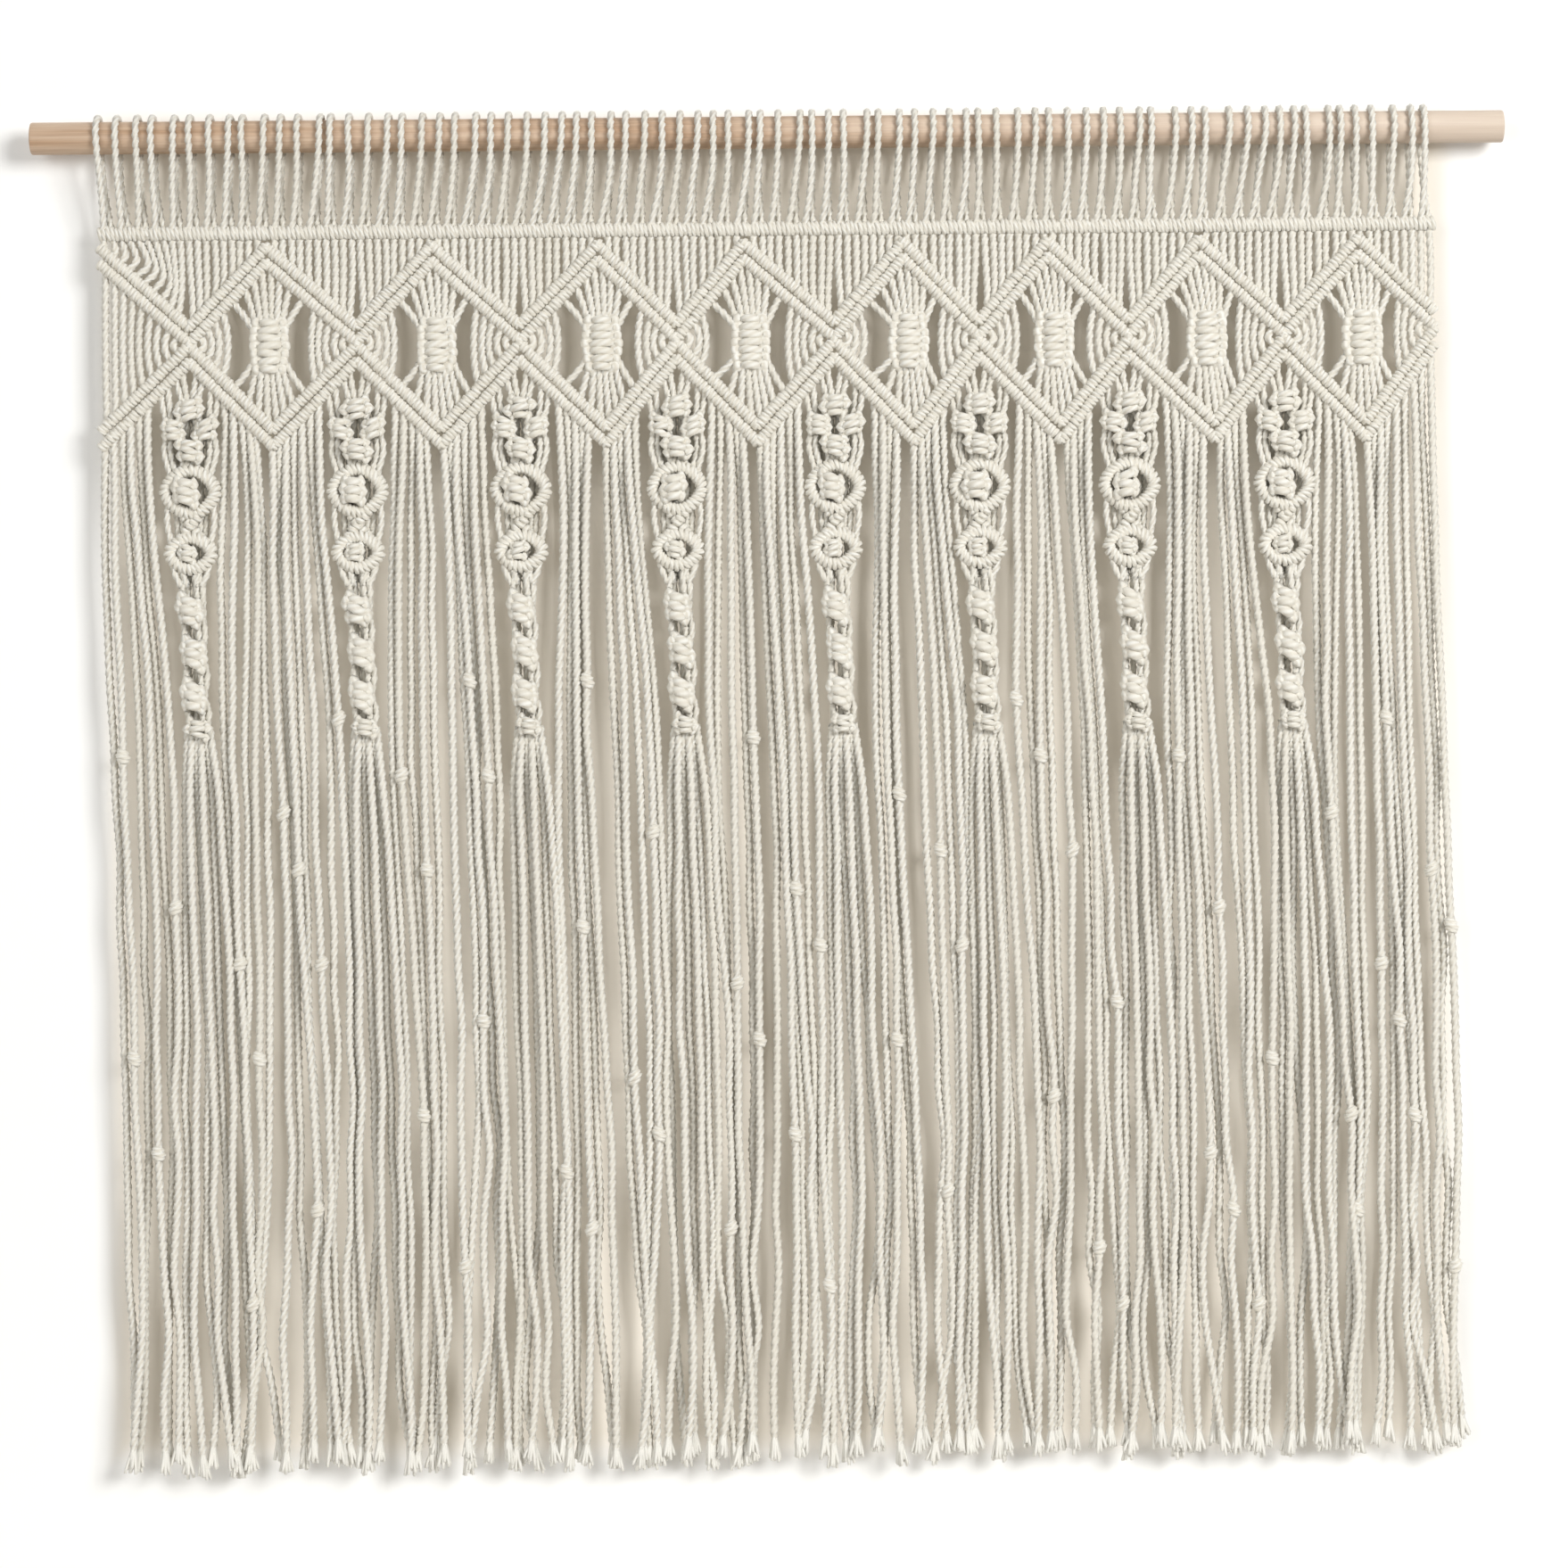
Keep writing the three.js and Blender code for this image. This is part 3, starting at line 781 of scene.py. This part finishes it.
def make_ring(crossing, ring):
    fine = ring_line(crossing, **ring)
    along = np.concatenate([[0], np.cumsum(np.linalg.norm(np.diff(fine, axis=0), axis=1))])
    count = round(along[-1] / RING_PITCH)
    shares = (np.arange(count) + 0.5) / count
    stops = np.interp(shares * along[-1], along, np.arange(RING_POINTS)).astype(int)
    tubes = [tube(fine[::8], RING_CORD, closed=True, sides=WRAP_SIDES, shade=HIDDEN_SHADE)]
    for stop in stops:
        ahead = fine[(stop + 2) % RING_POINTS] - fine[stop - 2]
        ahead /= np.linalg.norm(ahead)
        askew = RING_LEAN + RING_UNEVEN * hand.standard_normal()
        tubes.append(wrap(fine[stop], ahead, width=3.5, depth=4.3, thick=2.25, askew=askew,
                          shade=own_shade()))
    return tubes


print("rings at", RING_ONE["middle"], "and", RING_TWO["middle"], "mm")

# %% [markdown]
# The head of a pendant is a small net. Its eight cords are tied in fours: one knot at the top, two
# beside each other below it, one more at the foot, and the cords that miss a knot run past it.

# %% Net of a pendant
NET_ROWS = (-204.5, -219.0, -234.5)
NET_SIDE = 12.0
NET_LANES = np.array([-22, -16.5, -11, -5.6, 5.6, 11, 16.5, 22])
NET_RADIUS = 2.5
TIED = np.array([-4.6, -1.6, 1.6, 4.6])
RUNNING_PAST = (14.5, 19.5)
NET_DRAWN_IN = 0.62
RING_SLOPE = 26


def net_places(row):
    """Where the eight cords are at a row of the net: tied in fours, or running past a knot."""
    if row % 2:
        return np.concatenate([TIED - NET_SIDE, TIED + NET_SIDE])
    near, far = RUNNING_PAST
    return np.concatenate([[-far, -near], TIED, [near, far]])


def make_net(crossing):
    tubes = []
    for lane, place in enumerate(NET_LANES):
        x = crossing + place
        line = [(x, 0.8, level(lower_turns, x, LOWEST_DROP))]
        for row, z in enumerate(NET_ROWS):
            if z < line[0][2] - 6:
                line.append((crossing + net_places(row)[lane], hand.uniform(-2, 1.5), z))
        last = crossing + place * NET_DRAWN_IN
        on_ring = RING_ONE["middle"] + RING_ONE["high"] * (1 - abs(last - crossing) / RING_SLOPE)
        line.append((last, 0, on_ring))
        tubes.append(hung(line, radius=NET_RADIUS))
    top, sides, foot = NET_ROWS
    tubes += make_berry(crossing, top, wide=13.0, high=8.0, lean=0.22)
    for side in (-1, 1):
        tubes += make_berry(crossing + side * NET_SIDE, sides, wide=11.0, high=7.8, lean=0.3 * side)
    tubes += make_berry(crossing, foot, wide=13.4, high=8.0, lean=-0.22)
    return tubes


print("net knots at", NET_ROWS, "mm")

# %% [markdown]
# The neck joins the two rings: a cord at each side, and a pair of hitched bars that cross from one
# ring to the other. Spare cords run on behind all the knots and darken the holes between them.

# %% Neck and core of a pendant
def make_neck(crossing):
    """Cords beside and below the rings, and the two bars that cross from one ring to the other."""
    tubes = []
    upper, lower = RING_ONE["middle"], RING_TWO["middle"]
    beside = [(16.5, 0.5, upper - 8), (17.6, 0, (upper + lower) / 2), (14.0, 0.5, lower + 4)]
    below = [[(start, 0.5, lower - 6), (start * 0.9, -0.5, lower - 15), (end, 0, lower - 25)]
             for start, end in ((13.5, 7.5), (6.5, 3.0))]
    for side in (-1, 1):
        for line in (beside, *below):
            tubes.append(hung([(crossing + side * x, y, z) for x, y, z in line], radius=NET_RADIUS))
        ends = [(crossing + side * 10, 1.2 - side, upper - 12), (crossing - side * 9, 1.2 - side, lower + 9)]
        tubes += hitched_row(ends, pitch=3.8, width=2.4, depth=3.6, thick=2.2)
    return tubes


def make_core(crossing, top, foot, places):
    """Cords that run on behind the knots and darken the holes between them."""
    tubes = []
    for x in places:
        bulge = (crossing + x + hand.uniform(-1, 1), 8.2, (top + foot) / 2)
        line = [(crossing + x, 5.0, top), bulge, (crossing + 0.8 * x, 5.0, foot)]
        tubes.append(hung(line, radius=NET_RADIUS))
    return tubes


# %% [markdown]
# The chain below the rings is three large lumps that slant down to the right and a small one that
# ends it. One cord runs down the left and two down the right, so at the left a dark hole opens
# between one lump and the next. The chain swings a little to the right on its way down.

# %% Chain of a pendant
CHAIN_TOP, CHAIN_FOOT = -333.0, -446.0
CHAIN_KNOTS = (-354.0, -386.0, -418.0)
CHAIN_LANES = (-7.0, 4.0, 8.6)
CHAIN_SHIFTS = (-1.8, -0.2)
CHAIN_SWING = 4.5


def make_chain(crossing):
    tubes = []
    stops = np.array([CHAIN_TOP + 6, *CHAIN_KNOTS, CHAIN_FOOT + 3])
    between = (stops[1:] + stops[:-1]) / 2
    heights = np.sort(np.concatenate([stops, between]))[::-1]
    swing = CHAIN_SWING * np.clip((CHAIN_TOP - heights) / (CHAIN_TOP - CHAIN_FOOT), 0, 1)
    for lane in CHAIN_LANES:
        spread = np.where(np.isin(heights, between), lane, 0.7 * lane)
        line = np.stack([crossing + swing + spread, hand.uniform(-1, 1, len(heights)), heights], -1)
        tubes.append(hung(line, radius=NET_RADIUS))
    for k, z in enumerate(CHAIN_KNOTS):
        centre = crossing + np.interp(-z, -heights, swing) + CHAIN_SHIFTS[k % 2]
        tubes += make_berry(centre, z, wide=11.6, high=10.8, lean=-0.46)
    tubes += make_berry(crossing + CHAIN_SWING, CHAIN_FOOT + 4, wide=11.0, high=6.4, lean=-0.15)
    return tubes


print("chain knots at", CHAIN_KNOTS, "mm")

# %% [markdown]
# A free cord hangs from its root to the hem and is freer the lower it hangs: it drifts a little to
# the right with its neighbours, leans together with some of them, and has its own slight wave. The
# ends are cut by eye along a hem that rises a little to the right.

# %% Hanging cords
HEM_LEFT, HEM_RIGHT = -985.0, -974.0
HEM_UNEVEN = 6.0
HANGING_STEP = 42
DRIFT = 12.0
DRIFT_FROM, DRIFT_TO = -154.0, -797.0
STRAY_SHARES = (0, 0.12, 0.4, 0.7, 0.88, 1.0)
STRAYS = np.array([0, 0.6, 1.6, 2.2, 3.0, 5.0])


def hem_level(x):
    return np.interp(x, (LEFT_EDGE, RIGHT_EDGE), (HEM_LEFT, HEM_RIGHT))


def drift(z):
    t = np.clip((DRIFT_FROM - z) / (DRIFT_FROM - DRIFT_TO), 0, 1)
    return DRIFT * t * t * (3 - 2 * t)


def hanging_line(root, at_hem, deep):
    """A cord from its root to the hem. `deep` is how far behind the middle its layer hangs."""
    tip = hem_level(at_hem) + HEM_UNEVEN * hand.uniform(-1, 1)
    share = np.linspace(0, 1, round((root[2] - tip) / HANGING_STEP))
    z = root[2] + (tip - root[2]) * share
    kinks = hand.normal(0, 0.4 + 1.2 * share ** 2)
    stray = np.interp(share, STRAY_SHARES, STRAYS * hand.standard_normal(len(STRAYS)))
    x = root[0] + (at_hem - root[0]) * share ** 0.35 + drift(z) - drift(root[2]) + kinks + stray
    y = deep + 2.0 * share * hand.standard_normal() + hand.normal(0, 0.5, len(z))
    x[0], y[0] = root[0], root[1]
    return np.stack([x, y, z], -1)


print(f"hem from {HEM_LEFT} mm at the left to {HEM_RIGHT} mm at the right")

# %% [markdown]
# The fringe is every cord that no pendant took. It hangs from the lowest row to the hem in two
# loose layers. Neighbours bunch here and stand apart there, a gap opens under the low corner of
# each diamond, and the cords next to a pendant close in on its narrow chain.

# %% Fringe cords
PENDANT_ROOM = 25.7
FRINGE_RADIUS = 3.15
FRINGE_STEP = 3.2
FRONT_LAYER, BACK_LAYER = -2.4, 2.6
CORNER_GAP, CORNER_REACH = 3.6, 12.0
CLOSING, CLOSING_REACH = 7.5, 46.0
CLOSING_LEVELS = (-430, -270)
FREE_BELOW = 80


def part_under_diamond(x):
    """Cords stand off from the low corner of a diamond, so a gap opens beside it."""
    away = x - BOTTOMS[np.argmin(abs(BOTTOMS - x))] + 4
    return x + math.copysign(CORNER_GAP * math.exp(-(away / CORNER_REACH) ** 2), away)


def bunched(x, z):
    """Neighbours lean together here and stand apart there."""
    return 2.3 * np.sin(x / 7.3 + z / 170) + 1.7 * np.sin(x / 11.9 - z / 230 + 1.3)


def beside_chain(x, z):
    """Cords next to a pendant close in on its narrow chain and its few ends."""
    crossing = CROSSINGS[np.argmin(abs(CROSSINGS - x))]
    share = max(0, 1 - (abs(x - crossing) - PENDANT_ROOM) / CLOSING_REACH)
    return math.copysign(CLOSING * share, crossing - x) * np.interp(z, CLOSING_LEVELS, (1, 0))


nearest_crossing = abs(CORD_PLACES[:, None] - CROSSINGS).min(axis=1)
fringe_lines = []
for number, x in enumerate(CORD_PLACES[nearest_crossing > PENDANT_ROOM - 0.1]):
    at_bar = part_under_diamond(x)
    root = (at_bar, 0.6, level(lower_turns, at_bar, LOWEST_DROP))
    line = hanging_line(root, at_bar, FRONT_LAYER if number % 2 else BACK_LAYER)
    free = np.clip((root[2] - line[:, 2]) / FREE_BELOW, 0, 1)
    line[:, 0] += beside_chain(x, line[:, 2]) + free * bunched(x, line[:, 2])
    fringe_lines.append(line)
fringe_tubes = [hung(line, FRINGE_STEP, FRINGE_RADIUS, cut=True) for line in fringe_lines]
thirds = np.array_split(np.arange(len(fringe_tubes)), 3)
for part, places in zip(("left", "middle", "right"), thirds):
    join_cords(f"fringe_{part}", [fringe_tubes[k] for k in places], ["fringe"])

# %% [markdown]
# Now the eight pendants are tied from the top down: net, first ring, neck, second ring, chain. Of
# the eight cords two end in the knots and six hang on below as loose ends. All pendants follow one
# scheme, and the unevenness of the hand makes each its own.

# %% Pendants
BERRY_ONE = dict(middle=RING_ONE["middle"], wide=11.9, high=9.9)
BERRY_TWO = dict(middle=RING_TWO["middle"], wide=8.6, high=6.7)
LOOSE_ENDS = np.linspace(-1, 1, 6)
ENDS_AT_CHAIN, ENDS_AT_HEM = 8, 19
ENDS_LAYER = 3.0


def make_cores(crossing):
    tubes = make_core(crossing, NET_ROWS[0], RING_TWO["middle"] + 6,
                      (-12.5, -7.5, -2.5, 2.5, 7.5, 12.5))
    tubes += make_core(crossing, RING_TWO["middle"] + 10, CHAIN_TOP, (-8.0, -2.8, 2.8, 8.0))
    tubes += make_core(crossing + CHAIN_SWING / 2, CHAIN_TOP + 6, CHAIN_FOOT, (-5.4, 0.0, 5.4))
    return tubes


pendant_ends = []
for number, crossing in enumerate(CROSSINGS, 1):
    tubes = make_net(crossing)
    tubes += make_ring(crossing, RING_ONE) + make_berry(crossing - 3.0, **BERRY_ONE)
    tubes += make_neck(crossing)
    tubes += make_ring(crossing, RING_TWO) + make_berry(crossing - 2.3, **BERRY_TWO)
    tubes += make_chain(crossing)
    tubes += make_cores(crossing)
    centre = crossing + CHAIN_SWING
    for k, across in enumerate(LOOSE_ENDS):
        root = (centre + ENDS_AT_CHAIN * across, 1.5, CHAIN_FOOT + 4)
        line = hanging_line(root, centre + ENDS_AT_HEM * across, -ENDS_LAYER if k % 2 else ENDS_LAYER)
        pendant_ends.append(line)
        tubes.append(hung(line, FRINGE_STEP, FRINGE_RADIUS, cut=True))
    join_cords(f"pendant_{number}_knots", tubes, [f"pendant_{number}"])

# %% [markdown]
# Every second cord of the fringe, which is each one of the front layer, carries an overhand knot,
# and some carry two. Their heights jump about by the golden ratio, so no line of knots appears. From
# a step away such a knot is a small lump of three turns.

# %% Overhand knots
KNOTS_TOP, KNOTS_SPAN = -400, 480
GOLDEN = 0.618
KNOT_STARTS = (0.13, 0.6)
OVERHAND_THICK = 2.3
OVERHAND_TURN = 2 * math.pi * np.arange(9) / 9
OVERHAND_TURNS = ((2.6, 3.0), (3.7, 0.0), (2.7, -3.0))


def point_at(line, z):
    order = np.argsort(line[:, 2])
    return np.array([np.interp(z, line[order, 2], line[order, 0]),
                     np.interp(z, line[order, 2], line[order, 1]), z])


def overhand(place):
    lean = hand.choice((-1, 1)) * hand.uniform(0.25, 0.6)
    c, s = np.cos(OVERHAND_TURN), np.sin(OVERHAND_TURN)
    tubes = []
    for wide, up in OVERHAND_TURNS:
        line = np.stack([wide * c, wide * s, up + lean * wide * c], -1)
        tubes.append(tube(place + line, OVERHAND_THICK, across=(0, 0, 1), sides=WRAP_SIDES,
                          closed=True, shade=own_shade()))
    return tubes


knots = []
for order, line in enumerate(fringe_lines[1::2]):
    cord = bend(line, 8)
    for start in KNOT_STARTS if order % 3 == 0 else KNOT_STARTS[:1]:
        height = KNOTS_TOP - KNOTS_SPAN * ((GOLDEN * order + start) % 1.0)
        knots += overhand(point_at(cord, height))
join_cords("overhand_knots", knots, ["fringe"])

# %% [markdown]
# A cut end of cotton rope opens by itself: the plies part into yarns and the yarns spread like a
# small brush. Nine thin tubes that start inside the cord and flare below it are enough for that.

# %% Frayed ends
YARNS = 9
YARN_TURN = 2.4
YARN_SHARES = (0, 0.35, 1)
YARN_SIZES = (0.7, 1.6, 1.15)


def brush(line):
    """The plies of a cut end, opened into yarns."""
    tip = line[-1]
    lean = (line[-1] - line[-2])[:2] / (line[-2, 2] - line[-1, 2])
    tubes = []
    for k in range(YARNS):
        out = np.array([math.cos(YARN_TURN * k), math.sin(YARN_TURN * k)])
        length = hand.uniform(8, 14)
        flare = hand.uniform(1.8, 5.4)
        reach = [np.append(tip[:2] + 1.1 * out - 7 * lean, tip[2] + 7),
                 np.append(tip[:2] + 1.8 * out, tip[2]),
                 np.append(tip[:2] + 0.7 * flare * out + lean * 0.5 * length, tip[2] - 0.5 * length),
                 np.append(tip[:2] + flare * out + lean * length, tip[2] - length)]
        yarn = bend(reach, 7)
        sizes = np.interp(np.linspace(0, 1, len(yarn)), YARN_SHARES, YARN_SIZES)
        tubes.append(tube(yarn, sizes, sides=4))
    return tubes


frayed = [yarn for line in fringe_lines for yarn in brush(line)]
join_cords("frayed_hem", frayed, ["fringe"], opened_cotton)
frayed = [yarn for line in pendant_ends for yarn in brush(line)]
join_cords("frayed_pendant_ends", frayed, [f"pendant_{n}" for n in range(1, 9)], opened_cotton)

# %% [markdown]
# The curtain is seen square from the front, a little tilted in the picture, from far enough away
# that the rows stay parallel. The lens follows from the width that the picture shows and the
# distance of the camera.

# %% Camera
VIEW_WIDTH = 1172.0
VIEW_DISTANCE = 3400.0
VIEW_CENTRE = (8.7, -487.0)
VIEW_ROLL = math.radians(0.49)
SENSOR_WIDTH = 36

camera_data = bpy.data.cameras.new("front_camera")
camera_data.sensor_width = SENSOR_WIDTH
camera_data.lens = SENSOR_WIDTH * VIEW_DISTANCE / VIEW_WIDTH
camera = bpy.data.objects.new("front_camera", camera_data)
camera.location = (VIEW_CENTRE[0] * MM, -VIEW_DISTANCE * MM, VIEW_CENTRE[1] * MM)
camera.rotation_euler = (math.pi / 2, VIEW_ROLL, 0)
bpy.context.scene.collection.objects.link(camera)
bpy.context.scene.camera = camera
print(f"lens {camera_data.lens:.1f} mm")

# %% [markdown]
# The light is soft and comes from all sides, but most of it from the right front. A weak warm glow
# lights everything, one large light stands at the right, a weaker and wider one at the left, and a
# weak one behind lets the back be seen. A view that looks past the stage sees a plain pale surround.

# %% Light
SEEN_SURROUND = (0.80, 0.775, 0.725, 1)
GLOW_COLOUR, GLOW_STRENGTH = (1.0, 0.97, 0.92, 1), 0.285
LAMP_COLOUR = (1.0, 1.0, 0.99)
LIGHTS_AIM = (0, 0, -0.45)

scene = bpy.context.scene
scene.view_settings.view_transform = "Standard"
surround = bpy.data.worlds.new("pale_surround")
surround.use_nodes = True
nodes, links = surround.node_tree.nodes, surround.node_tree.links
seen = nodes["Background"]
seen.inputs["Color"].default_value = SEEN_SURROUND
glow = nodes.new("ShaderNodeBackground")
glow.inputs["Color"].default_value = GLOW_COLOUR
glow.inputs["Strength"].default_value = GLOW_STRENGTH
either = nodes.new("ShaderNodeMixShader")
links.new(nodes.new("ShaderNodeLightPath").outputs["Is Camera Ray"], either.inputs[0])
links.new(glow.outputs[0], either.inputs[1])
links.new(seen.outputs[0], either.inputs[2])
links.new(either.outputs[0], nodes["World Output"].inputs["Surface"])
scene.world = surround


def soft_light(name, place, size, power):
    lamp = bpy.data.lights.new(name, "AREA")
    lamp.size = size
    lamp.energy = power
    lamp.color = LAMP_COLOUR
    holder = bpy.data.objects.new(name, lamp)
    holder.location = place
    aim = Vector(LIGHTS_AIM) - Vector(place)
    holder.rotation_euler = aim.to_track_quat("-Z", "Y").to_euler()
    scene.collection.objects.link(holder)
    print(f"{name}: {power} W")


soft_light("soft_right", (2.8, -3.8, 0.9), size=1.9, power=188)
soft_light("soft_left", (-2.8, -4.2, 0.2), size=3.0, power=92)
soft_light("soft_back", (-0.8, 2.8, 0.9), size=1.6, power=22)

# %% [markdown]
# The stage is not part of the curtain and is marked so. Its floor is a pale disc well below the hem,
# a little cloudy so that it doesn't look like plastic.

# %% Floor
FLOOR_RADIUS, FLOOR_LEVEL = 1.15, -1.45
FLOOR_TONES = ((0.70, 0.665, 0.61, 1), (0.76, 0.725, 0.67, 1))


def put_on_stage(name, shape, material):
    mesh = bpy.data.meshes.new(name)
    shape.to_mesh(mesh)
    shape.free()
    mesh.materials.append(material)
    piece = bpy.data.objects.new(name, mesh)
    scene.collection.objects.link(piece)
    piece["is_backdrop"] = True
    print("on stage:", name)
    return piece


def make_floor():
    shape = bmesh.new()
    bmesh.ops.create_circle(shape, cap_ends=True, segments=64, radius=FLOOR_RADIUS)
    bmesh.ops.translate(shape, verts=shape.verts, vec=(0, 0, FLOOR_LEVEL))
    material, nodes, links, shader = new_material("pale_floor")
    clouds = noise_on(nodes, links, place_on_object(nodes), scale=6, detail=3)
    links.new(mix_colours(nodes, links, clouds, *FLOOR_TONES), shader.inputs["Base Color"])
    shader.inputs["Roughness"].default_value = 0.85
    put_on_stage("pale_floor", shape, material)


make_floor()

# %% [markdown]
# A backdrop close behind the rod catches the soft brown shadows that show in the gaps of the
# curtain. Behind the curtain it is painted beige, which is painted shade that darkens those gaps,
# and it fades to white beyond its edges. From behind it is clear and it throws no shadow, so the
# back of the curtain can be seen and lit.

# %% Backdrop
BACKDROP_SIZE, BACKDROP_PLACE = 2.0, (0, 0.022, -0.2)
# Painted shade: these beige tones lie only behind the curtain and darken its gaps; beyond its edges the
# backdrop is white.
BACKDROP_PAINTED_SHADE_TONES = ((0.85, 0.80, 0.72, 1), (0.89, 0.84, 0.76, 1))
BACKDROP_WHITE = (0.93, 0.93, 0.925, 1)
CURTAIN_MIDDLE = 0.006
SIDE_FADE, TOP_FADE, HEM_FADE = (0.492, 0.514), (0.0, 0.03), (-0.972, -1.0)


def paint_backdrop():
    material, nodes, links, shader = new_material("pale_backdrop")
    place = place_on_object(nodes)
    clouds = noise_on(nodes, links, place, scale=5, detail=3)
    # Painted shade: beige behind the curtain, fading to white outside it.
    painted_shade_tone = mix_colours(nodes, links, clouds, *BACKDROP_PAINTED_SHADE_TONES)
    x, _, z = split_axes(nodes, links, place)
    across = link_maths(nodes, links, "SUBTRACT", x, CURTAIN_MIDDLE)
    from_middle = link_maths(nodes, links, "ABSOLUTE", across)
    beside = fade(nodes, links, from_middle, *SIDE_FADE)
    above = fade(nodes, links, z, *TOP_FADE)
    below = fade(nodes, links, z, *HEM_FADE)
    outside = link_maths(nodes, links, "MAXIMUM", beside, above)
    outside = link_maths(nodes, links, "MAXIMUM", outside, below)
    links.new(mix_colours(nodes, links, outside, painted_shade_tone, BACKDROP_WHITE), shader.inputs["Base Color"])
    shader.inputs["Roughness"].default_value = 0.95
    shader.inputs["Specular IOR Level"].default_value = 0.1
    clear = nodes.new("ShaderNodeBsdfTransparent")
    either_side = nodes.new("ShaderNodeMixShader")
    links.new(nodes.new("ShaderNodeNewGeometry").outputs["Backfacing"], either_side.inputs[0])
    links.new(shader.outputs[0], either_side.inputs[1])
    links.new(clear.outputs[0], either_side.inputs[2])
    links.new(either_side.outputs[0], nodes["Material Output"].inputs["Surface"])
    return material


def make_backdrop():
    shape = bmesh.new()
    bmesh.ops.create_grid(shape, x_segments=1, y_segments=1, size=BACKDROP_SIZE)
    upright = Matrix.Rotation(math.pi / 2, 3, "X")
    bmesh.ops.rotate(shape, verts=shape.verts, cent=(0, 0, 0), matrix=upright)
    bmesh.ops.translate(shape, verts=shape.verts, vec=BACKDROP_PLACE)
    piece = put_on_stage("pale_backdrop", shape, paint_backdrop())
    piece.visible_shadow = False


make_backdrop()

# %% [markdown]
# Last, the number of triangles in all shown pieces is printed. The finished curtain differs from the
# CAD part's size by under 3 mm, most at the frayed hem.

# %% Triangles in all
total = sum(len(p.vertices) - 2 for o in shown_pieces() for p in o.data.polygons)
print("triangles in all:", total)
